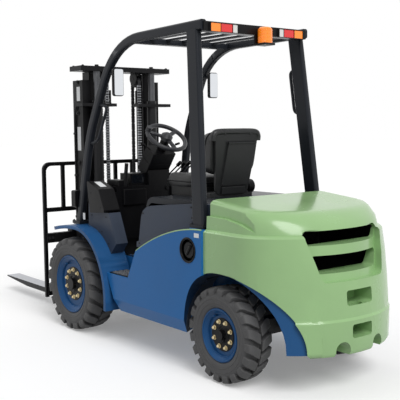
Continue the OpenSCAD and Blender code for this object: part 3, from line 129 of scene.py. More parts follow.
def finish(name, rgb, rough, metal=0.0, coat=0.0, glow=0.0, spec=0.5, grain=0.0, grain_size=900,
           cells=0.0, cell_size=520, ribs=0.0, vary=0.06, vary_size=6.0, rough_vary=0.05, stretch=(1, 1, 1),
           wear=0.0, worn=None):
    """Principled material of uneven colour and gloss; grain, cells or ribs is a bump height in metres."""
    colour = srgb(*rgb)
    mat = bpy.data.materials.new(name)
    mat.use_nodes = True
    mat.diffuse_color = colour
    tree = mat.node_tree
    shader = tree.nodes["Principled BSDF"]
    set_inputs(shader, Metallic=metal, Specular_IOR_Level=spec, Coat_Weight=coat,
               Coat_Roughness=COAT_ROUGHNESS)
    if glow:
        set_inputs(shader, Emission_Color=colour, Emission_Strength=glow)

    place = add_node(tree, "TexCoord")
    scaled = add_node(tree, "Mapping", Scale=stretch)
    patches = add_node(tree, "TexNoise", Scale=vary_size, Detail=PATCH_DETAIL)
    link(tree, place, "Object", scaled, "Vector")
    link(tree, scaled, "Vector", patches, "Vector")
    shade = remap(tree, patches, "Fac", PATCH_SPAN, (1 - vary, 1 + vary))
    gloss = remap(tree, patches, "Fac", PATCH_SPAN, (rough - rough_vary, rough + rough_vary))
    link(tree, gloss, "Result", shader, "Roughness")

    base = tint = add_node(tree, "HueSaturation", Color=colour)
    link(tree, shade, "Result", tint, "Value")
    if wear:
        shape = add_node(tree, "NewGeometry")
        edge = remap(tree, shape, "Pointiness", EDGE_SPAN, (0.0, wear))
        base = add_node(tree, "MixRGB", Color2=srgb(*worn))
        link(tree, edge, "Result", base, "Fac")
        link(tree, tint, "Color", base, "Color1")
    link(tree, base, "Color", shader, "Base Color")

    textures = ((grain, "TexNoise", "Fac", grain_size),
                (cells, "TexVoronoi", "Distance", cell_size),
                (ribs, "TexWave", "Fac", RIB_SCALE))
    for height, texture, out, scale in textures:
        if height:
            pattern = add_node(tree, texture, Scale=scale)
            bump = add_node(tree, "Bump", Distance=height, Strength=BUMP_STRENGTH)
            link(tree, place, "Object", pattern, "Vector")
            link(tree, pattern, out, bump, "Height")
            link(tree, bump, "Normal", shader, "Normal")
    return mat


# Sprayed enamel has a faint orange peel, and a lens has ribs
ENAMEL = dict(grain=0.00008, grain_size=240, vary=0.04, vary_size=3)
LENS = dict(rough=0.12, coat=0.6, ribs=0.0009)

FINISHES = {
    "paint_blue": dict(ENAMEL, rgb=(34, 103, 167), rough=0.34, coat=0.06, spec=0.14),
    # Darker blue of the front fenders and the strip behind the rear wheel: painted shade
    "fender_shade_blue": dict(ENAMEL, rgb=(36, 82, 130), rough=0.36, coat=0.06, spec=0.14),
    # Dark blue inside the wheel arch: painted shade
    "arch_shade_blue": dict(ENAMEL, rgb=(16, 36, 60), rough=0.5, spec=0.1),
    # Darker blue of the rims: painted shade of their recess
    "rim_shade_blue": dict(ENAMEL, rgb=(26, 74, 122), rough=0.4, coat=0.06, spec=0.16),
    "paint_green": dict(ENAMEL, rgb=(147, 184, 128), rough=0.24, coat=0.28, spec=0.34),
    "paint_grey": dict(ENAMEL, rgb=(31, 34, 40), rough=0.34, spec=0.18),
    "paint_black": dict(ENAMEL, rgb=(14, 14, 16), rough=0.34, spec=0.14, wear=0.12,
                        worn=(110, 110, 112)),
    "plastic_black": dict(rgb=(14, 14, 16), rough=0.36, grain=0.0003, spec=0.14),
    "seat_shell": dict(rgb=(31, 32, 33), rough=0.4, grain=0.0003, spec=0.32),
    "soft_grey": dict(rgb=(50, 51, 55), rough=0.38, grain=0.0003, grain_size=700, spec=0.35),
    "plastic_grey": dict(rgb=(56, 64, 78), rough=0.42, grain=0.0002, spec=0.22),
    "rubber": dict(rgb=(76, 76, 77), rough=0.6, grain=0.0009, grain_size=110, spec=0.3, vary=0.14,
                   vary_size=14, rough_vary=0.1, wear=0.25, worn=(112, 111, 109)),
    "cast": dict(rgb=(34, 34, 37), rough=0.6, grain=0.0008, grain_size=120, spec=0.35, vary=0.12),
    "chrome": dict(rgb=(215, 217, 222), rough=0.12, metal=1, vary=0.03, rough_vary=0.04),
    "steel": dict(rgb=(92, 93, 96), rough=0.38, metal=0.8, vary=0.12, vary_size=20, rough_vary=0.08),
    "chain_steel": dict(rgb=(158, 160, 164), rough=0.34, metal=0.65, vary=0.14, vary_size=60),
    # Light steel of the fork blades: worn steel, partly a painted highlight on the top
    "fork_steel": dict(rgb=(176, 178, 184), rough=0.36, metal=0.5, vary=0.16, vary_size=5,
                       rough_vary=0.1, stretch=(0.6, 9, 9), wear=0.4, worn=(150, 152, 156)),
    "vinyl": dict(rgb=(32, 33, 34), rough=0.38, cells=0.0004, spec=0.4, vary=0.08),
    "amber": dict(LENS, rgb=(250, 132, 20), glow=0.35),
    "red": dict(LENS, rgb=(208, 16, 18), glow=0.35),
    "white": dict(LENS, rgb=(232, 232, 228)),
    "mirror": dict(rgb=(225, 228, 232), rough=0.03, metal=1, vary=0.02, rough_vary=0.02),
    "brass": dict(rgb=(222, 204, 160), rough=0.34, metal=0.6, vary=0.1, vary_size=40),
    "label": dict(rgb=(226, 228, 230), rough=0.4, vary=0.03, vary_size=25),
    "screen": dict(rgb=(14, 18, 24), rough=0.08, coat=0.6, rough_vary=0.03),
    # Near black for painted shade deep inside the counterweight
    "void": dict(rgb=(10, 10, 11), rough=0.8, spec=0.1),
}
MATS = {name: finish(name, **look) for name, look in FINISHES.items()}


# Solids

BEVELS = {
    "main_frame": 0.010, "front_fenders": 0.004, "counterweight": 0.006, "cowl": 0.016, "side_covers": 0.007,
    "hood": 0.010, "overhead_guard": 0.002, "mast_outer": 0.002, "mast_inner": 0.002, "carriage": 0.003,
    "load_backrest": 0.004, "fork": 0.003, "lamp_bar": 0.003, "headlamps": 0.008, "steering_column": 0.012,
    "controls": 0.002, "lamps_amber": 0.005, "lamps_red": 0.005, "lamps_white": 0.004, "front_rim": 0.003,
    "rear_rim": 0.003, "seat_frame": 0.010, "steer_axle": 0.004, "knuckle": 0.003, "floor_plate": 0.002,
    "mirror_frames": 0.004, "radiator": 0.003, "power_unit": 0.02, "tilt_barrels": 0.002, "filler_cap": 0.004,
    "steering_wheel": 0.004,
}
SHARP_ANGLE = radians(33)
CREASES = {"main_frame": radians(18)}
WELD_REACH = 2e-5
BEVEL_SEGMENTS = 2


def kind_of(node):
    """Name of a node without its side."""
    return node.removesuffix("_left").removesuffix("_right")


def smooth(mesh):
    mesh.polygons.foreach_set("use_smooth", [True] * len(mesh.polygons))


def soften(obj, width, angle=SHARP_ANGLE):
    """Rounds the edges of an object and evens its shading."""
    weld = obj.modifiers.new("weld", "WELD")
    weld.merge_threshold = WELD_REACH
    if width:
        bevel = obj.modifiers.new("bevel", "BEVEL")
        bevel.width = width
        bevel.segments = BEVEL_SEGMENTS
        bevel.limit_method = "ANGLE"
        bevel.angle_limit = angle
        bevel.miter_outer = "MITER_ARC"
    even = obj.modifiers.new("even", "WEIGHTED_NORMAL")
    even.keep_sharp = True


# Finish of each node: its slot in the record, or a darker or lighter tone of it; the darker blues of the rims
# and front fenders are painted shade
FINISH_OF = {part["node"]: part["material_slot"] for part in frame["record"]["subparts"]}
FINISH_OF.update({name: "rim_shade_blue" for name in FINISH_OF if "_rim_" in name})
FINISH_OF.update({"front_fenders": "fender_shade_blue", "chain_tails": "cast", "seat_frame": "seat_shell",
                  "steering_wheel": "soft_grey"})
for name, node in NODES.items():
    mesh = node.data
    if "custom_normal" in mesh.attributes:
        mesh.attributes.remove(mesh.attributes["custom_normal"])
    mesh.materials.clear()
    mesh.materials.append(MATS[FINISH_OF[name]])
    smooth(mesh)
    if kind_of(name) in BEVELS:
        soften(node, BEVELS[kind_of(name)], CREASES.get(name, SHARP_ANGLE))


# Wheel sizes: face, rim_edge and the second number of a rib are distances out from the wheel's middle plane
WHEELS = {
    "front": SimpleNamespace(
        centre=at(0, 508, FRONT_AXLE_Z), rim_r=0.218, tyre_r=0.350, tyre_w=0.220, face=0.0616,
        rim_edge=0.0924, nuts=10, nut_ring_r=0.104, nut_r=0.0128, hub_r=0.076, bolt_ring_r=0.054,
        ribs=((0.250, 0.1058), (0.278, 0.1077))),
    "rear": SimpleNamespace(
        centre=at(REAR_AXLE_X, 466, REAR_AXLE_Z), rim_r=0.162, tyre_r=0.291, tyre_w=0.186, face=0.0484,
        rim_edge=0.0781, nuts=8, nut_ring_r=0.080, nut_r=0.0116, hub_r=0.057, bolt_ring_r=0.040,
        ribs=((0.194, 0.0896), (0.221, 0.0910))),
}


# Second finishes on some faces of the solids

def paint_faces(node, mat, inside):
    """Second finish for the faces of a node whose middle passes the test."""
    mesh = NODES[node].data
    mesh.materials.append(MATS[mat])
    for face in mesh.polygons:
        if inside(face.center):
            face.material_index = len(mesh.materials) - 1


def in_box(low, high):
    return lambda p: all(low[i] <= p[i] <= high[i] for i in range(3))


def near_axle(centre, r):
    """Test for points within a radius of a wheel's axle line."""
    return lambda p: hypot(p.x - centre.x, p.z - centre.z) < r


def paint_counterweight():
    """Radiator bay behind the slots, painted near black as painted shade."""
    paint_faces("counterweight", "void", in_box(at(-2125, -331, 670), at(-1570, 331, 966)))


def paint_hubs():
    for side in SIDES:
        for end, size in WHEELS.items():
            paint_faces(f"{end}_rim_{side}", "paint_black", near_axle(size.centre, size.hub_r))


def paint_frame():
    """Strip behind the rear wheel and the inside of its arch, in darker blues as painted shade."""
    rear_edge = at(COUNTERWEIGHT_X, 0, 0).x
    paint_faces("main_frame", "fender_shade_blue", lambda p: p.x < rear_edge)
    paint_faces("main_frame", "arch_shade_blue", in_box(at(COUNTERWEIGHT_X, -574, 246), at(-1350, 574, 700)))


def paint_cowl():
    """Black dash between and above the grey side panels."""
    panel_y = 0.397
    panel_top = at(0, 0, 895).z
    paint_faces("cowl", "plastic_black", lambda p: abs(p.y) < panel_y or p.z > panel_top)


def paint_forks():
    """Blades worn to bare steel on their top and bottom, their sides left black; the light top is also
    painted light and the black sides painted shade.
    """
    blade_from = at(500, 0, 0).x
    fork_y = FORK_Y / 1000
    half = 0.057

    # Faces near a blade's middle line: top, bottom and tip; the sides keep their black paint, partly as
    # painted shade
    def is_blade(p):
        return p.x > blade_from and abs(abs(p.y) - fork_y) < half

    for side in SIDES:
        paint_faces(f"fork_{side}", "fork_steel", is_blade)


paint_counterweight()
paint_hubs()
paint_frame()
paint_cowl()
paint_forks()


# Building blocks of the small pieces

HEXAGON = 6
BOLT_WASHER = 0.002


def add_object(name, data):
    """Object of a mesh, lamp or camera in the scene."""
    obj = bpy.data.objects.new(name, data)
    bpy.context.scene.collection.objects.link(obj)
    return obj


def from_bmesh(name, bm):
    mesh = bpy.data.meshes.new(name)
    bm.to_mesh(mesh)
    bm.free()
    return mesh


def piece(name, bm, mat, body="chassis", shade=True, round_edge=0.0):
    """Object of a bmesh that rides on a body; shade smooths it and rounds its edges."""
    mesh = from_bmesh(name, bm)
    mesh.materials.append(MATS[mat])
    obj = add_object(name, mesh)
    if shade:
        smooth(mesh)
        soften(obj, round_edge)
    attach(obj, body)
    return obj


def facing(spot, axis):
    """Matrix at a spot whose Z runs along an axis."""
    return Matrix.Translation(spot) @ axis.to_track_quat("Z", "Y").to_matrix().to_4x4()


def raised(place, height):
    """The same place further along its Z."""
    return place @ Matrix.Translation((0, 0, height))


def add_disc(bm, place, r, top_r, h, sides=24):
    """Cone or prism along the place's Z, from 0 to h."""
    bmesh.ops.create_cone(bm, cap_ends=True, segments=sides, radius1=r, radius2=top_r, depth=h,
                          matrix=raised(place, h / 2))


def add_bolt(bm, spot, axis, r, h):
    """Hexagon head on a thin washer."""
    place = facing(spot, axis)
    add_disc(bm, place, r * 1.5, r * 1.45, BOLT_WASHER)
    add_disc(bm, place, r, r * 0.94, h, HEXAGON)


def add_box(bm, centre, size, turn=Matrix.Identity(4)):
    place = Matrix.Translation(centre) @ turn @ Matrix.Diagonal((*size, 1))
    bmesh.ops.create_cube(bm, size=1, matrix=place)


def bridge(bm, low, high, reverse=False):
    """Faces between two closed loops with the same number of points."""
    for k in range(len(low)):
        n = (k + 1) % len(low)
        if reverse:
            bm.faces.new((low[k], high[k], high[n], low[n]))
        else:
            bm.faces.new((low[k], low[n], high[n], high[k]))


def add_ring(bm, place, r, tube_r, around, sides=10):
    """Torus about the place's Z."""
    rings = []
    for i in range(around):
        turn = TURN * i / around
        ring = []
        for k in range(sides):
            roll = TURN * k / sides
            reach = r + tube_r * cos(roll)
            spot = Vector((reach * cos(turn), reach * sin(turn), tube_r * sin(roll)))
            ring.append(bm.verts.new(place @ spot))
        rings.append(ring)
    for low, high in zip(rings, rings[1:] + rings[:1]):
        bridge(bm, low, high, reverse=True)


def curve(points, steps):
    """Smooth path through points."""
    points = [Vector(p) for p in points]
    last = len(points) - 1
    path = []
    for i in range(last):
        a, b, c, d = points[max(i - 1, 0)], points[i], points[i + 1], points[min(i + 2, last)]
        for k in range(steps):
            t = k / steps
            path.append(0.5 * (2 * b + (c - a) * t + (2 * a - 5 * b + 4 * c - d) * t * t
                               + (3 * b - a - 3 * c + d) * t ** 3))
    return path + [points[-1]]


def add_tube(bm, path, r, sides=10):
    """Round bar along a path, closed at both ends."""
    last = len(path) - 1
    across = (path[1] - path[0]).orthogonal().normalized()
    rolls = [TURN * k / sides for k in range(sides)]
    rings = []
    for i, spot in enumerate(path):
        ahead = (path[min(i + 1, last)] - path[max(i - 1, 0)]).normalized()
        across = (across - ahead * across.dot(ahead)).normalized()
        up = ahead.cross(across)
        rings.append([bm.verts.new(spot + r * (cos(a) * across + sin(a) * up)) for a in rolls])
    for low, high in zip(rings, rings[1:]):
        bridge(bm, low, high)
    bm.faces.new(list(reversed(rings[0])))
    bm.faces.new(rings[-1])


# Wheels

# Meridian of a tyre: share of the way from the rim out to the tread, and share of half the width
CARCASS = ((-0.03, 0.73), (0.045, 0.87), (0.15, 0.94), (0.33, 0.977), (0.51, 0.98), (0.60, 0.955),
           (0.68, 0.885), (0.74, 0.79), (0.77, 0.64), (0.778, 0.3), (0.778, 0.0))
# Sections of a lug from the tyre's middle out to its shoulder, with shift and width as shares of the pitch
LUGS = 20
LUG_TOP = ((0.997, 0.05), (1.0, 0.2), (0.995, 0.42), (0.985, 0.62), (0.965, 0.80), (0.92, 0.935),
           (0.84, 0.985), (0.73, 0.995), (0.64, 0.985))
LUG_FOOT = ((0.75, 0.05), (0.75, 0.2), (0.75, 0.42), (0.74, 0.62), (0.71, 0.73), (0.67, 0.81), (0.62, 0.86),
            (0.57, 0.90), (0.54, 0.92))
LUG_SHIFTS = (0.50, 0.40, 0.27, 0.14, 0.06, 0.02, 0.0, 0.0, 0.0)
LUG_WIDTHS = (0.64, 0.68, 0.69, 0.66, 0.61, 0.58, 0.57, 0.55, 0.52)
LUG_STAGGER = 0.25
LUG_SPLAY = 1.14

WHEEL_WASHER = 0.006
NUT_HEIGHT = 0.016
STUD_HEIGHT = 0.005
FLANGE = 0.004
HUB_BOLTS = 6
HUB_BOLT_OUT = 0.0125
BEAD_IN = 0.001
BEAD_DROP = 0.007
DISH_IN = 0.020
DISH_SHARE = 0.8
VALVE_SHARE = 0.74
VALVE_ANGLE = 1.1
VALVE_LENGTH = 0.03
RIM_AROUND = 72


def add_carcass(bm, spot, size):
    """Tyre without its lugs, turned about the axle."""
    span = size.tyre_r - size.rim_r
    half = size.tyre_w / 2
    around = 4 * LUGS
    line = list(CARCASS) + [(q, -y) for q, y in CARCASS[-2::-1]]
    rings = []
    for k in range(around):
        turn = TURN * k / around
        rings.append([bm.verts.new(spot(size.rim_r + q * span, turn, y * half)) for q, y in line])
    for low, high in zip(rings, rings[1:] + rings[:1]):
        bridge(bm, low, high)


def add_lug(bm, spot, size, number, row):
    """Swept lug of one of the two rows, which stand half a pitch apart."""
    span = size.tyre_r - size.rim_r
    half = size.tyre_w / 2
    pitch = TURN / LUGS
    loops = []
    for top, foot, shift, width in zip(LUG_TOP, LUG_FOOT, LUG_SHIFTS, LUG_WIDTHS):
        middle = pitch * (number + row * LUG_STAGGER + shift)
        reach = pitch * width / 2
        corners = ((foot, -reach * LUG_SPLAY), (top, -reach), (top, reach), (foot, reach * LUG_SPLAY))
        loops.append([bm.verts.new(spot(size.rim_r + q * span, middle + turn, row * y * half))
                      for (q, y), turn in corners])
    for low, high in zip(loops, loops[1:]):
        bridge(bm, low, high)
    bm.faces.new(loops[0])
    bm.faces.new(loops[-1])


def add_wheel_nut(bm, place, r):
    """Nut on a washer, with the end of its stud."""
    add_disc(bm, place, r * 1.3, r * 1.25, WHEEL_WASHER, sides=20)
    add_disc(bm, place, r, r * 0.96, NUT_HEIGHT, HEXAGON)
    add_disc(bm, raised(place, NUT_HEIGHT), r * 0.9, r * 0.55, STUD_HEIGHT, sides=20)


def wheel(end, side):
    """Tyre with lugs, nuts and hub bolts on a dark flange, which is partly painted shade of the rim's dish,
    rim rings with a valve, and sidewall ribs.
    """
    size = WHEELS[end]
    sign = SIDES[side]
    hub = Vector((size.centre.x, size.centre.y * sign, size.centre.z))
    out = outward(sign)
    body = f"{end}_wheel_{side}"

    def spot(r, angle, y):
        return hub + Vector((r * cos(angle), sign * y, r * sin(angle)))

    def plane(y):
        return facing(hub + out * y, out)

    bm = bmesh.new()
    add_carcass(bm, spot, size)
    for row in (1, -1):
        for number in range(LUGS):
            add_lug(bm, spot, size, number, row)
    bmesh.ops.recalc_face_normals(bm, faces=bm.faces)
    tyre = piece(f"{end}_tread_{side}", bm, "rubber", body, round_edge=0.0035)
    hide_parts(f"{end}_tyre_{side}")

    bm = bmesh.new()
    for k in range(size.nuts):
        nut_spot = spot(size.nut_ring_r, TURN * (k + 0.5) / size.nuts, size.face)
        add_wheel_nut(bm, facing(nut_spot, out), size.nut_r)
    piece(f"{end}_nuts_{side}", bm, "brass", body, round_edge=0.001)

    # Black flange out past the nuts: a dark hub flange and partly painted shade of the rim's dish
    bm = bmesh.new()
    flange_low = size.nut_ring_r + size.nut_r * 1.9
    flange_high = size.nut_ring_r + size.nut_r * 1.7
    add_disc(bm, plane(size.face), flange_low, flange_high, FLANGE, sides=64)
    for k in range(HUB_BOLTS):
        bolt_spot = spot(size.bolt_ring_r, TURN * k / HUB_BOLTS, size.face + HUB_BOLT_OUT)
        add_bolt(bm, bolt_spot, out, r=0.005, h=0.006)
    piece(f"{end}_hub_bolts_{side}", bm, "paint_black", body, round_edge=0.0008)

    bm = bmesh.new()
    add_ring(bm, plane(size.rim_edge - BEAD_IN), size.rim_r - BEAD_DROP, tube_r=0.006, around=RIM_AROUND)
    add_ring(bm, plane(size.rim_edge - DISH_IN), size.rim_r * DISH_SHARE, tube_r=0.003, around=RIM_AROUND)
    valve_r = size.rim_r * VALVE_SHARE
    valve_ends = (size.face, size.face + VALVE_LENGTH)
    add_tube(bm, [spot(valve_r, VALVE_ANGLE, y) for y in valve_ends], r=0.005)
    # The rim rings take the rims' darker blue, a painted shade
    piece(f"{end}_rim_ring_{side}", bm, "rim_shade_blue", body)

    bm = bmesh.new()
    for way in (-1, 1):
        for rib_r, rib_y in size.ribs:
            add_ring(bm, plane(way * rib_y), rib_r, tube_r=0.0022, around=RIM_AROUND, sides=8)
    piece(f"{end}_sidewall_{side}", bm, "rubber", body)


# Floor, body and guard

def step_studs():
    rows, columns = 10, 6
    pitch_x, pitch_y = 24, 23
    first_x, first_y, tread_z = -530, 436, 510
    bm = bmesh.new()
    for sign in SIGNS:
        for i in range(rows):
            for k in range(columns):
                stagger = pitch_x / 2 if k % 2 else 0
                spot = at(first_x - pitch_x * i - stagger, sign * (first_y + pitch_y * k), tread_z)
                add_disc(bm, facing(spot, UP), r=0.0085, top_r=0.006, h=0.004, sides=12)
    piece("step_studs", bm, "steel", shade=False)


def floor_ribs():
    count, pitch = 23, 25
    middle_x, first_y, floor_z = -560, -275, 504
    bm = bmesh.new()
    for k in range(count):
        add_box(bm, at(middle_x, first_y + pitch * k, floor_z), size=(0.39, 0.012, 0.005))
    piece("floor_ribs", bm, "rubber", shade=False)


def pedal_ribs():
    pedal_x, pedal_z = -420, 572
    pedal_ys = (-210, -60, 120)
    count, pitch, height = 5, 0.014, 0.001
    tilt = Matrix.Rotation(radians(-50), 4, "Y")
    bm = bmesh.new()
    for y in pedal_ys:
        for k in range(count):
            spot = at(pedal_x, y, pedal_z) + tilt @ Vector((pitch * (k - 2), 0, height))
            add_box(bm, spot, size=(0.006, 0.078, 0.005), turn=tilt)
    piece("pedal_ribs", bm, "rubber", shade=False)


def filler():
    """Lined recess and grip of the filler cap on the left side, and a plain cover on the right side."""
    centre = at(-1441, 0, 773)
    recess_r, mouth_y, floor_y = 0.0742, 0.5745, 0.5338
    lips = ((0.5755, 0.0745), (0.5705, 0.0705))
    around = 64
    bm = bmesh.new()
    for lip_y, lip_r in lips:
        add_ring(bm, facing(centre + Vector((0, lip_y, 0)), outward(1)), lip_r, tube_r=0.005, around=around)
    angles = [TURN * k / around for k in range(around)]
    mouth, floor = [[bm.verts.new(centre + Vector((recess_r * cos(a), y, recess_r * sin(a))))
                     for a in angles] for y in (mouth_y, floor_y)]
    bridge(bm, mouth, floor, reverse=True)
    bm.faces.new(floor)
    add_box(bm, centre + Vector((0, 0.568, 0)), size=(0.07, 0.014, 0.018), turn=Matrix.Rotation(0.9, 4, "Y"))

    cover_y, cover_depth = -0.5335, 0.037
    cover = facing(centre + Vector((0, cover_y, 0)), outward(-1))
    add_disc(bm, cover, recess_r, recess_r, cover_depth, around)
    add_disc(bm, raised(cover, cover_depth), r=0.062, top_r=0.058, h=0.003, sides=around)
    piece("filler_ring", bm, "plastic_black")


GUARD_FEET = (
    SimpleNamespace(x=35, y=480, z=820.3, half_x=45, half_y=33, bolt_r=0.008, bolt_h=0.009),
    SimpleNamespace(x=-1472, y=500, z=925, half_x=58, half_y=24, bolt_r=0.006, bolt_h=0.007),
)


def guard_bolts():
    """Bolts on the guard's feet and the headlamps' brackets."""
    bracket_x, bracket_y = 90, 468
    bracket_zs = (915, 1055)
    bm = bmesh.new()
    for sign in SIGNS:
        for foot in GUARD_FEET:
            for dx in (-foot.half_x, foot.half_x):
                for dy in (-foot.half_y, foot.half_y):
                    spot = at(foot.x + dx, sign * (foot.y + dy), foot.z)
                    add_bolt(bm, spot, UP, foot.bolt_r, foot.bolt_h)
        for z in bracket_zs:
            add_bolt(bm, at(bracket_x, sign * bracket_y, z), AHEAD, r=0.004, h=0.004)
    piece("guard_bolts", bm, "paint_black", shade=False)


def lamp_frames():
    """Seams around and between the lenses of the two rear lamps."""
    lens_x = -1454.6
    seam_ys = (393, 313.5, 219, 178)
    seam_zs = (2098, 2151)
    middle_y, middle_z = 285.5, 2124.5
    width, height, depth, seam = 0.218, 0.053, 0.016, 0.003
    bm = bmesh.new()
    for sign in SIGNS:
        for y in seam_ys:
            add_box(bm, at(lens_x, sign * y, middle_z), size=(depth, seam, height))
        for z in seam_zs:
            add_box(bm, at(lens_x, sign * middle_y, z), size=(depth, width, seam))
    piece("lamp_frames", bm, "paint_black", shade=False)


def beacon():
    """Tapered top and ribs of the amber beacon."""
    beacon_x, beacon_y, top_z = -1493.9, -22, 2134
    rib_count, first_rib_z, rib_pitch = 4, 2058, 22
    bm = bmesh.new()
    add_disc(bm, facing(at(beacon_x, beacon_y, top_z), UP), r=0.045, top_r=0.034, h=0.012, sides=32)
    piece("beacon_top", bm, "amber", round_edge=0.004)
    bm = bmesh.new()
    for k in range(rib_count):
        place = facing(at(beacon_x, beacon_y, first_rib_z + rib_pitch * k), UP)
        add_ring(bm, place, r=0.046, tube_r=0.0014, around=40, sides=6)
    piece("beacon_ribs", bm, "amber")


def headlamp_rings():
    lamp_x, lamp_y, lamp_z = 103, 468.3, 985
    bm = bmesh.new()
    for sign in SIGNS:
        add_ring(bm, facing(at(lamp_x, sign * lamp_y, lamp_z), AHEAD), r=0.037, tube_r=0.004, around=40)
    piece("headlamp_rings", bm, "chrome")


def skirt_fairings():
    """Green edge of the wheel arch: the counterweight's surface carried forward over the frame's skirt."""
    arch_power, arch_foot, arch_rise, arch_x = 0.91, 245, 419, -1730
    near_reach, far_reach = 503, 556
    overlap, last_angle = 0.018, 1.072
    round_power, round_length, round_half = 0.95, 480, 562
    # Height, and how far the surface lies inside the full round, along and across
    levels = ((230, 11.8, 17.3), (250, 0, 5.8), (426, 0, 0), (439, 11.8, 1.9), (601, 25, 1.9), (763, 52, 1.9))
    along, across = 1, 2
    drops = (-0.2, 21)
    lip, bumper = [231, 240, 250], [262 + 12 * k for k in range(14)]
    crease, body = [426, 432, 439], [450 + 12 * k for k in range(18)]
    heights = lip + bumper + crease + body
    shares = [k / 8 for k in range(9)]

    def inset(z, way):
        for low, high in zip(levels, levels[1:]):
            if z <= high[0]:
                return low[way] + (high[way] - low[way]) * (z - low[0]) / (high[0] - low[0])

    def arch_edge(z, reach):
        s = (max(0, z - arch_foot) / arch_rise) ** (1 / arch_power)
        return arch_x - reach * max(0, 1 - s * s) ** (arch_power / 2)

    def angle(x, z):
        share = max(0, COUNTERWEIGHT_X - x) / (round_length - inset(z, along))
        return asin(min(1, share) ** (1 / round_power))

    def skin(turn, z, drop):
        length, half = round_length - inset(z, along) - drop, round_half - inset(z, across) - drop
        return COUNTERWEIGHT_X - length * sin(turn) ** round_power, half * cos(turn) ** round_power

    rows, columns = len(heights), len(shares)
    rim = [(0, k) for k in range(columns)] + [(i, columns - 1) for i in range(1, rows)] \
        + [(rows - 1, k) for k in range(columns - 2, -1, -1)] + [(i, 0) for i in range(rows - 2, 0, -1)]
    bm = bmesh.new()
    for sign in SIGNS:
        sheets = []
        for drop in drops:
            sheet = []
            for z in heights:
                near = angle(arch_edge(z, near_reach), z)
                far = min(angle(arch_edge(z, far_reach), z) + overlap, last_angle)
                spots = [skin(near + (far - near) * s, z, drop) for s in shares]
                sheet.append([bm.verts.new(at(x, sign * y, z)) for x, y in spots])
            sheets.append(sheet)
        outer, inner = sheets
        for i in range(rows - 1):
            for k in range(columns - 1):
                bm.faces.new((outer[i][k], outer[i][k + 1], outer[i + 1][k + 1], outer[i + 1][k]))
                bm.faces.new((inner[i][k], inner[i + 1][k], inner[i + 1][k + 1], inner[i][k + 1]))
        for (a, b), (c, d) in zip(rim, rim[1:] + rim[:1]):
            bm.faces.new((outer[a][b], inner[a][b], inner[c][d], outer[c][d]))
    bmesh.ops.recalc_face_normals(bm, faces=bm.faces)
    fairings = piece("skirt_fairings", bm, "paint_green")
    fairings.data.set_sharp_from_angle(angle=radians(60))


def brow_highlight_beads():
    """Light green bead along the top edge of the side panels, also a painted highlight on that rounded edge.
    """
    front_x, length, bead_y = -864, 706, 571
    front_z, rise, power = 702, 205, 1.9
    shares = [k / 24 for k in range(25)]
    bm = bmesh.new()
    for sign in SIGNS:
        path = [at(front_x - length * u, sign * bead_y, front_z + rise * (1 - (1 - u) ** power))
                for u in shares]
        add_tube(bm, path, r=0.005)
    piece("brow_highlight_beads", bm, "paint_green")


def radiator_fins():
    fin_count, fin_pitch, first_z, fin_x = 34, 8.2, 682, -1708
    bar_ys, bar_x, bar_z = (-290, -145, 0, 145, 290), -1709, 817
    bm = bmesh.new()
    for k in range(fin_count):
        add_box(bm, at(fin_x, 0, first_z + fin_pitch * k), size=(0.008, 0.59, 0.0025))
    for y in bar_ys:
        add_box(bm, at(bar_x, y, bar_z), size=(0.01, 0.006, 0.27))
    piece("radiator_fins", bm, "steel", shade=False)


def blank_plates():
    """Plates without print on the side panel, the cowl, the dash and the mast."""
    thick = 0.0014
    dash_tilt = Matrix.Rotation(radians(-19.5), 4, "Y")
    mast_x, mast_y = 245, 358.6
    mast_rows = ((1790, 0.11), (1440, 0.185))
    bm = bmesh.new()
    add_box(bm, at(-1530, 575.6, 872), size=(0.046, thick, 0.026))
    add_box(bm, at(-105, 530.6, 868), size=(0.03, thick, 0.05))
    add_box(bm, at(-236, 462, 1109.8), size=(0.095, 0.05, thick), turn=dash_tilt)
    piece("body_plates", bm, "label", shade=False)
    bm = bmesh.new()
    for z, height in mast_rows:
        add_box(bm, at(mast_x, mast_y, z), size=(0.05, thick, height))
    piece("mast_plates", bm, "label", "mast", shade=False)


# Seat

SEAT = Matrix.Translation(at(-1157, 0, 1050)) @ Matrix.Rotation(radians(-9), 4, "Y")
SEAT_TURN = SEAT.to_3x3().to_4x4()
SEAT_BASE = Matrix.Translation(at(-883, 0, 1114)) @ Matrix.Rotation(radians(-90), 4, "Y")
CUSHION_GRID = 28
CUSHION_FOOT = 0.002
CORNER_POWER = 5
CHANNEL_DEPTH = 0.010
CHANNEL_WIDTH = 0.07


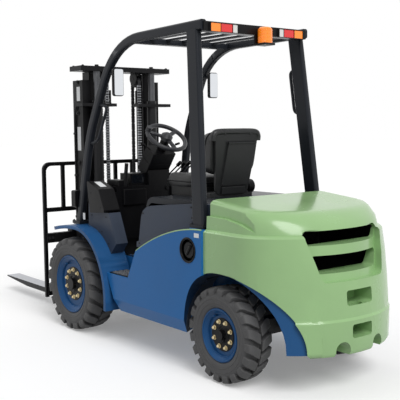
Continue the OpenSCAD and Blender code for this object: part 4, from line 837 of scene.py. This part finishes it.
def pillow(bm, outline, crown, place):
    """Closed cushion: outline(u, v) gives (y, z), crown(u, v) the height; returns the seam's points."""
    n = CUSHION_GRID
    grid = [[None] * (n + 1) for _ in range(n + 1)]
    back = [[None] * (n + 1) for _ in range(n + 1)]
    for i in range(n + 1):
        for k in range(n + 1):
            u, v = 2 * i / n - 1, 2 * k / n - 1
            y, z = outline(u, v)
            edge = max(abs(u), abs(v))
            lift = (1 - edge ** 8) ** 0.5
            grid[i][k] = bm.verts.new(place @ Vector((crown(u, v) * (0.35 + 0.65 * lift), y, z)))
            back[i][k] = bm.verts.new(place @ Vector((CUSHION_FOOT, y * (1 - 0.03 * (1 - lift)), z)))
    for i in range(n):
        for k in range(n):
            bm.faces.new((grid[i][k], grid[i + 1][k], grid[i + 1][k + 1], grid[i][k + 1]))
            bm.faces.new((back[i][k], back[i][k + 1], back[i + 1][k + 1], back[i + 1][k]))
    rim = [(i, 0) for i in range(n)] + [(n, k) for k in range(n)] + [(i, n) for i in range(n, 0, -1)] \
        + [(0, k) for k in range(n, 0, -1)]
    for a, b in zip(rim, rim[1:] + rim[:1]):
        bm.faces.new((grid[b[0]][b[1]], grid[a[0]][a[1]], back[a[0]][a[1]], back[b[0]][b[1]]))
    return [grid[i][k].co.copy() for i, k in rim]


def squircle(u, v):
    """Square grid point drawn in toward rounded corners."""
    r = max(abs(u), abs(v))
    if r == 0:
        return 0.0, 0.0
    n = (abs(u / r) ** CORNER_POWER + abs(v / r) ** CORNER_POWER) ** (1 / CORNER_POWER)
    return u / n, v / n


def channel(u, v, middle):
    """Depth of the sewn channel down each side of a cushion."""
    return CHANNEL_DEPTH * exp(-((abs(u) - middle) / CHANNEL_WIDTH) ** 2) * (1 - v ** 6)


def back_outline(u, v):
    middle_z, half_z = 0.297, 0.147
    foot_z, length, foot_half, widening = 0.154, 0.286, 0.196, 0.016
    a, b = squircle(u, v)
    z = middle_z + half_z * b
    return a * (foot_half + widening * (z - foot_z) / length), z


def back_crown(u, v):
    thick, belly, wing_from = 0.086, 0.010, 0.45
    wing = (0.085 - 0.045 * v) * (max(0, abs(u) - wing_from) / (1 - wing_from)) ** 1.6
    return thick + wing - channel(u, v, 0.62) + belly * cos(pi * v / 2)


def base_outline(u, v):
    half_y, half_x = 0.232, 0.178
    a, b = squircle(u, v)
    return a * half_y, b * half_x


def base_crown(u, v):
    thick, belly, wing_from = 0.078, 0.008, 0.55
    wing = 0.024 * max(0, abs(u) - wing_from) / (1 - wing_from)
    front = 0.006 * max(0, -v)
    return thick + wing - channel(u, v, 0.6) + front + belly * cos(pi * v / 2)


def cushions():
    """Soft cushions of the seat and its back, with piping along their seams."""
    bm = bmesh.new()
    back_rim = pillow(bm, back_outline, back_crown, SEAT)
    base_rim = pillow(bm, base_outline, base_crown, SEAT_BASE)
    pads = piece("cushions", bm, "vinyl", "hood")
    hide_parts("seat_cushions")
    bm = bmesh.new()
    for rim in (back_rim, base_rim):
        add_tube(bm, curve(rim[::2] + rim[:1], steps=2), r=0.0042, sides=8)
    piece("piping", bm, "plastic_black", "hood")


def back_roll():
    """Padded roll along the top of the seat's back."""
    roll_x, top_z = -0.006, 0.444
    half = [(0.196, 0.385), (0.192, 0.420), (0.156, 0.441)]
    roll = [(-y, z) for y, z in half] + [(0, top_z)] + half[::-1]
    bm = bmesh.new()
    add_tube(bm, curve([SEAT @ Vector((roll_x, y, z)) for y, z in roll], steps=8), r=0.022, sides=16)
    piece("back_roll", bm, "vinyl", "hood")


def document_pocket():
    """Buttons, pocket with its rim, and foot on the back of the seat's shell."""
    button_x, button_y, button_z = -0.026, 0.11, 0.432
    corners = [Vector(c) for c in ((0.080, 0.372), (-0.160, 0.372), (-0.120, 0.085), (0.106, 0.085))]
    middle = sum(corners, Vector((0, 0))) / len(corners)
    # How far back each loop of the pocket lies, and how far its corners are drawn in
    loops = ((-0.021, 0.0), (-0.032, 0.0), (-0.037, 0.006))
    bm = bmesh.new()
    for y in (-button_y, button_y):
        place = facing(SEAT @ Vector((button_x, y, button_z)), SEAT.to_3x3() @ BACK)
        add_disc(bm, place, r=0.007, top_r=0.005, h=0.006, sides=16)
    rings = []
    for x, shrink in loops:
        spots = [c - (c - middle).normalized() * shrink for c in corners]
        rings.append([bm.verts.new(SEAT @ Vector((x, *s))) for s in spots])
    for low, high in zip(rings, rings[1:]):
        bridge(bm, low, high, reverse=True)
    bm.faces.new(rings[-1])
    bm.faces.new(list(reversed(rings[0])))
    add_box(bm, SEAT @ Vector((-0.036, -0.040, 0.372)), size=(0.014, 0.245, 0.012), turn=SEAT_TURN)
    add_box(bm, SEAT @ Vector((-0.026, 0, 0.05)), size=(0.02, 0.2, 0.05), turn=SEAT_TURN)
    piece("document_pocket", bm, "seat_shell", "hood", round_edge=0.003)


def belt_reel():
    reel_width = 0.05
    place = facing(at(-1150, -150, 1112), outward(-1))
    bm = bmesh.new()
    add_disc(bm, place, r=0.048, top_r=0.048, h=reel_width, sides=32)
    add_disc(bm, raised(place, reel_width), r=0.04, top_r=0.034, h=0.008, sides=32)
    piece("belt_reel", bm, "plastic_black", "hood", round_edge=0.004)


# Dashboard

STEERING = Matrix.Translation(at(-433, 0, 1446)) @ Matrix.Rotation(radians(-37), 4, "Y")
STEERING_TURN = STEERING.to_3x3().to_4x4()
LEVERS_Y = -230


def stalks():
    """Stalks and seam on the steering column, and two knobs on the dash."""
    stalk_reaches = ((1, 0.15), (-1, 0.13))
    grip_length = 0.035
    knob_x, knob_z = -329, 1060
    bm = bmesh.new()
    for sign, reach in stalk_reaches:
        root = STEERING @ Vector((0.01, sign * 0.09, -0.12))
        elbow = STEERING @ Vector((0.02, sign * reach, -0.085))
        tip = STEERING @ Vector((0.022, sign * (reach + grip_length), -0.075))
        add_tube(bm, [root, elbow], r=0.0045)
        add_tube(bm, [elbow, tip], r=0.009)
    add_box(bm, STEERING @ Vector((0, 0, -0.215)), size=(0.118, 0.210, 0.004), turn=STEERING_TURN)
    add_disc(bm, facing(at(knob_x, -70, knob_z), BACK), r=0.016, top_r=0.014, h=0.012)
    add_disc(bm, facing(at(knob_x, -110, knob_z), BACK), r=0.012, top_r=0.010, h=0.010)
    piece("stalks", bm, "plastic_black", round_edge=0.001)


def screen():
    bm = bmesh.new()
    add_box(bm, at(-291, 168, 1138), size=(0.003, 0.112, 0.062))
    piece("screen", bm, "screen", shade=False)


def consoles():
    """Brake console, the levers' plate and the two panels below them."""
    bm = bmesh.new()
    add_box(bm, at(-245, 320, 1112), size=(0.16, 0.09, 0.05))
    add_box(bm, at(-245, LEVERS_Y, 1094), size=(0.13, 0.25, 0.014))
    add_box(bm, at(-338, LEVERS_Y, 1020), size=(0.02, 0.26, 0.11))
    add_box(bm, at(-338, 230, 1010), size=(0.02, 0.2, 0.12))
    piece("consoles", bm, "plastic_black", round_edge=0.008)


def lever_boots():
    lever_count, lever_pitch, lever_x = 4, 46, -240
    fold_count, fold_pitch, foot_z = 4, 12, 1097
    foot_r, taper = 0.0185, 0.0014
    bm = bmesh.new()
    for k in range(lever_count):
        y = LEVERS_Y - (k - (lever_count - 1) / 2) * lever_pitch
        for j in range(fold_count):
            place = facing(at(lever_x, y, foot_z + fold_pitch * j), UP)
            add_ring(bm, place, foot_r - taper * j, tube_r=0.004, around=24, sides=8)
    piece("lever_boots", bm, "rubber")


def wheel_trim():
    """Cap on the steering wheel's hub and an inlay on each spoke."""
    spokes, inlay_r, inlay_z, cap_z = 3, 0.075, 0.007, 0.031
    bm = bmesh.new()
    add_disc(bm, raised(STEERING, cap_z), r=0.026, top_r=0.018, h=0.006, sides=32)
    for k in range(spokes):
        a = pi + TURN * k / spokes
        spot = STEERING @ Vector((inlay_r * cos(a), inlay_r * sin(a), inlay_z))
        add_box(bm, spot, size=(0.05, 0.018, 0.004), turn=STEERING_TURN @ Matrix.Rotation(a, 4, "Z"))
    piece("wheel_trim", bm, "soft_grey", "steering_wheel", round_edge=0.0015)


# Mast and carriage

CHAIN_Y = 0.152
CHAIN_PITCH = 0.0205
CHAIN_TOP_Z = 1880
PIN_LENGTH = 0.0304
FRONT_PIN_R = 0.0045
TAIL_PIN_R = 0.0078


def mast_fittings():
    """Bosses with bolts, the pipes with their clips and the upper bolts on the outer mast."""
    channel_y, boss_x, boss_zs, boss_height = 358, 255, (1880, 1640, 1250), 6
    pipe = ((300, 366, 760), (300, 366, 1100), (298, 366, 1500), (280, 367, 1660), (240, 367, 1720))
    clip_x, clip_y, clip_zs = 300, 364, (820, 1150, 1480)
    bolt_x, bolt_ys, bolt_z = 156, (124, 180), 1714.5
    bm = bmesh.new()
    for sign in SIGNS:
        out = outward(sign)
        for z in boss_zs:
            boss = facing(at(boss_x, sign * channel_y, z), out)
            head = facing(at(boss_x, sign * (channel_y + boss_height), z), out)
            add_disc(bm, boss, r=0.018, top_r=0.016, h=boss_height / 1000)
            add_disc(bm, head, r=0.009, top_r=0.008, h=0.006, sides=HEXAGON)
        add_tube(bm, curve([at(x, sign * y, z) for x, y, z in pipe], steps=6), r=0.007)
        for z in clip_zs:
            add_box(bm, at(clip_x, sign * clip_y, z), size=(0.026, 0.018, 0.016))
        for y in bolt_ys:
            add_bolt(bm, at(bolt_x, sign * y, bolt_z), UP, r=0.012, h=0.012)
    piece("mast_fittings", bm, "paint_black", "mast")


def crosshead_bolts():
    """Bolts on the inner mast's crosshead, and the sheaves' side plates and pins."""
    top_z, rod_x, rod_y = 2000, 130, 256
    end_xs, end_y = (110, 255), 390
    sheave_x, sheave_z, outer_y, inner_y = 203, 1921, 175, 129
    bm = bmesh.new()
    for sign in SIGNS:
        add_bolt(bm, at(rod_x, sign * rod_y, top_z), UP, r=0.018, h=0.014)
        for x in end_xs:
            add_bolt(bm, at(x, sign * end_y, top_z), UP, r=0.009, h=0.008)
        for y, way in ((outer_y, sign), (inner_y, -sign)):
            place = facing(at(sheave_x, sign * y, sheave_z), outward(way))
            add_disc(bm, place, r=0.052, top_r=0.050, h=0.003, sides=40)
            add_disc(bm, place, r=0.014, top_r=0.012, h=0.0045, sides=20)
    piece("crosshead_bolts", bm, "paint_black", "inner_mast", shade=False)


def add_chain_pins(bm, x, foot, pin_r):
    """Pins up both chains, from their foot to just below the sheaves."""
    foot_gap, top_gap = 0.004, 0.006
    top = at(0, 0, CHAIN_TOP_Z).z
    for sign in SIGNS:
        z = foot + foot_gap
        while z < top - top_gap:
            place = facing(Vector((x, sign * (CHAIN_Y - PIN_LENGTH / 2), z)), outward(sign))
            add_disc(bm, place, pin_r, pin_r, PIN_LENGTH, sides=10)
            z += CHAIN_PITCH


def front_chains():
    """Lift chains with their pins, riding on the carriage."""
    low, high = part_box("lift_chains")
    x = (low.x + high.x) / 2
    bm = bmesh.new()
    add_chain_pins(bm, x, low.z, FRONT_PIN_R)
    bm.from_mesh(NODES["lift_chains"].data)
    chain = piece("front_chains", bm, "cast", "carriage", shade=False)
    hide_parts("lift_chains")
    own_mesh(chain)


def tail_pins():
    """Bright pins on the chain tails."""
    low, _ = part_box("chain_tails")
    link_half = 0.006
    bm = bmesh.new()
    add_chain_pins(bm, low.x + link_half, low.z, TAIL_PIN_R)
    piece("tail_pins", bm, "chain_steel", "inner_mast", shade=False)


def carriage_bolts():
    """Bolts of the load backrest, and the roller pins inside the carriage's cheeks."""
    rest_x, rest_ys, rest_zs = 401, (530, 560), (228, 652)
    roller_x, roller_y, roller_zs = 255, 180, (230, 440)
    bm = bmesh.new()
    for sign in SIGNS:
        for z in rest_zs:
            for y in rest_ys:
                add_bolt(bm, at(rest_x, sign * y, z), BACK, r=0.009, h=0.008)
        for z in roller_zs:
            place = facing(at(roller_x, sign * roller_y, z), outward(-sign))
            add_disc(bm, place, r=0.02, top_r=0.018, h=0.0015)
    piece("carriage_bolts", bm, "paint_black", "carriage", shade=False)


def fork_pins():
    """Locking pin with a cross handle on top of each fork."""
    pin_x, boss_z, stem_z, handle_z, handle_half = 452, 714.3, 730, 748, 22
    for side, sign in SIDES.items():
        y = sign * FORK_Y
        bm = bmesh.new()
        add_disc(bm, facing(at(pin_x, y, boss_z), UP), r=0.012, top_r=0.012, h=0.016)
        add_disc(bm, facing(at(pin_x, y, stem_z), UP), r=0.006, top_r=0.006, h=0.018)
        handle = [at(pin_x, y + reach, handle_z) for reach in (-handle_half, handle_half)]
        add_tube(bm, handle, r=0.006)
        piece(f"fork_pin_{side}", bm, "steel", f"fork_{side}", round_edge=0.001)


# Axles, tilt cylinders and covers

def axle_fittings():
    """Bolts of the drive axle's cover and the steer axle, and the steering hoses."""
    cover_bolts, cover_r, cover_x = 12, 0.09, -0.1215
    beam_x, beam_y, beam_z = -1675, 90, 339
    hose = ((-1788, 60, 320), (-1788, 60, 380), (-1740, 40, 470), (-1700, 62, 560), (-1690, 62, 603))
    bm = bmesh.new()
    for k in range(cover_bolts):
        a = TURN * k / cover_bolts
        spot = at(0, 0, FRONT_AXLE_Z) + Vector((cover_x, cover_r * cos(a), cover_r * sin(a)))
        add_bolt(bm, spot, BACK, r=0.007, h=0.012)
    for sign in SIGNS:
        add_bolt(bm, at(beam_x, sign * beam_y, beam_z), UP, r=0.009, h=0.008)
        add_tube(bm, curve([at(x, sign * y, z) for x, y, z in hose], steps=6), r=0.008)
    piece("axle_fittings", bm, "cast", shade=False)


def gear_housing():
    """Plain housing with its flange behind the power unit."""
    bm = bmesh.new()
    add_box(bm, at(-1385, 0, 350), size=(0.26, 0.15, 0.18))
    add_box(bm, at(-1270, 0, 350), size=(0.03, 0.2, 0.2))
    piece("gear_housing", bm, "cast", round_edge=0.012)


def tilt_glands():
    """Gland and the two pipe unions on each tilt cylinder."""
    pivot_x, pivot_y, pivot_z = -420, 334, 560
    gland_at, union_ats, union_up = 0.372, (0.09, 0.35), 0.024
    slope = atan2(60, 560)
    ahead = Vector((cos(slope), 0, sin(slope)))
    bm = bmesh.new()
    for sign in SIGNS:
        pivot = at(pivot_x, sign * pivot_y, pivot_z)
        gland = facing(pivot + ahead * gland_at, ahead)
        add_disc(bm, gland, r=0.031, top_r=0.031, h=0.026, sides=32)
        for d in union_ats:
            union = facing(pivot + ahead * d + UP * union_up, UP)
            add_disc(bm, union, r=0.009, top_r=0.008, h=0.018, sides=HEXAGON)
    piece("tilt_glands", bm, "paint_black", "tilt_barrels", shade=False)


# Screws of the side covers and the cowl: how far out, radius, and (x, z) of each
SCREW_ROWS = (
    (482, 0.007, ((-770, 735),)),
    (468, 0.007, ((-800, 940), (-1340, 1020), (-1350, 955))),
    (496, 0.006, ((-160, 880), (-300, 770), (-395, 690), (-360, 880))),
    (530, 0.006, ((-205, 1050), (-335, 950))),
)
SCREW_TAPER = 0.001
SCREW_HEIGHT = 0.003


def cover_screws():
    bm = bmesh.new()
    for sign in SIGNS:
        for y, r, spots in SCREW_ROWS:
            for x, z in spots:
                place = facing(at(x, sign * y, z), outward(sign))
                add_disc(bm, place, r, r - SCREW_TAPER, SCREW_HEIGHT, sides=16)
    piece("cover_screws", bm, "paint_black", shade=False)


def hood_latch():
    bm = bmesh.new()
    add_box(bm, at(-768, 0, 930), size=(0.012, 0.12, 0.05))
    add_box(bm, at(-762, 0, 930), size=(0.01, 0.06, 0.02))
    piece("hood_latch", bm, "plastic_black", "hood", round_edge=0.003)


for end in WHEELS:
    for side in SIDES:
        wheel(end, side)
step_studs()
floor_ribs()
pedal_ribs()
filler()
guard_bolts()
lamp_frames()
beacon()
headlamp_rings()
skirt_fairings()
brow_highlight_beads()
radiator_fins()
blank_plates()
cushions()
back_roll()
document_pocket()
belt_reel()
stalks()
screen()
consoles()
lever_boots()
wheel_trim()
mast_fittings()
crosshead_bolts()
front_chains()
tail_pins()
carriage_bolts()
fork_pins()
axle_fittings()
gear_housing()
tilt_glands()
cover_screws()
hood_latch()


# Studio

PHOTO_PX = 400
FOCAL_PX = 780.25
SENSOR_MM = 36.0
CAMERA_SPOT = Vector((-4.88824, 3.40631, 1.51081))
CAMERA_AZIMUTH = radians(-37.96)
CAMERA_TILT = radians(-5.24)
CAMERA_ROLL = radians(-0.59)
CAMERA_REACH = 200
WHITE = (1, 1, 1, 1)
WORLD_LIGHT = 0.45
FLOOR_HALF = 60
# Grey and glow of the floor, as light on the object and as it is seen
FLOOR_SHADES = ((0.45, 0.0), (0.8, 0.22))
FLOOR_ROUGHNESS = 0.9


def add_camera():
    cam = bpy.data.cameras.new("camera")
    obj = add_object("camera", cam)
    cam.sensor_width = SENSOR_MM
    cam.lens = FOCAL_PX / PHOTO_PX * SENSOR_MM
    cam.clip_end = CAMERA_REACH
    ahead = Vector((cos(CAMERA_TILT) * cos(CAMERA_AZIMUTH),
                    cos(CAMERA_TILT) * sin(CAMERA_AZIMUTH), sin(CAMERA_TILT)))
    right = ahead.cross(UP).normalized()
    up = right.cross(ahead)
    c, s = cos(CAMERA_ROLL), sin(CAMERA_ROLL)
    right, up = c * right + s * up, c * up - s * right
    turn = Matrix((right, up, -ahead)).transposed().to_4x4()
    obj.matrix_world = Matrix.Translation(CAMERA_SPOT) @ turn
    bpy.context.scene.camera = obj


def direct_rays(tree):
    """Node that is 1 for what is seen directly, mirrored or through glass, and 0 for light on the object."""
    ray = add_node(tree, "LightPath")
    seen = add_node(tree, "Math")
    through = add_node(tree, "Math")
    seen.operation = through.operation = "MAXIMUM"
    link(tree, ray, "Is Camera Ray", seen, 0)
    link(tree, ray, "Is Glossy Ray", seen, 1)
    link(tree, seen, 0, through, 0)
    link(tree, ray, "Is Transmission Ray", through, 1)
    return through


def mix_by_rays(tree, light, view, output):
    """Shows one shader to the light on the object and the other to what is seen directly."""
    mix = add_node(tree, "MixShader")
    out = add_node(tree, output)
    link(tree, direct_rays(tree), 0, mix, "Fac")
    link(tree, light, 0, mix, 1)
    link(tree, view, 0, mix, 2)
    link(tree, mix, 0, out, "Surface")


def add_world():
    """Plain light for diffuse rays and a white background for what is seen directly or mirrored."""
    world = bpy.data.worlds.new("studio")
    bpy.context.scene.world = world
    world.use_nodes = True
    tree = world.node_tree
    tree.nodes.clear()
    light, white = [add_node(tree, "Background", Color=WHITE, Strength=strength)
                    for strength in (WORLD_LIGHT, 1.0)]
    mix_by_rays(tree, light, white, "OutputWorld")


def add_sun(name, strength, angle, azimuth, height):
    """Sun with the angles in degrees; azimuth and height say where it stands."""
    sun = bpy.data.lights.new(name, "SUN")
    sun.energy = strength
    sun.angle = radians(angle)
    obj = add_object(name, sun)
    a, e = radians(azimuth), radians(height)
    toward = Vector((cos(a) * cos(e), sin(a) * cos(e), sin(e)))
    obj.rotation_mode = "QUATERNION"
    obj.rotation_quaternion = toward.to_track_quat("Z", "Y")


def add_floor():
    """Pale floor that keeps the truck's shadow."""
    bm = bmesh.new()
    bmesh.ops.create_grid(bm, x_segments=1, y_segments=1, size=FLOOR_HALF)
    mesh = from_bmesh("floor", bm)
    obj = add_object("floor", mesh)
    mat = bpy.data.materials.new("floor")
    mat.use_nodes = True
    tree = mat.node_tree
    tree.nodes.clear()
    shades = [add_node(tree, "BsdfPrincipled", Base_Color=(grey, grey, grey, 1),
                       Roughness=FLOOR_ROUGHNESS, Specular_IOR_Level=0.0, Emission_Color=WHITE,
                       Emission_Strength=glow) for grey, glow in FLOOR_SHADES]
    mix_by_rays(tree, *shades, "OutputMaterial")
    mesh.materials.append(mat)


add_camera()
add_world()
add_floor()
add_sun("key", strength=2.1, angle=35, azimuth=167, height=46)
add_sun("fill", strength=0.4, angle=60, azimuth=20, height=50)

bpy.context.scene.view_settings.view_transform = "Standard"
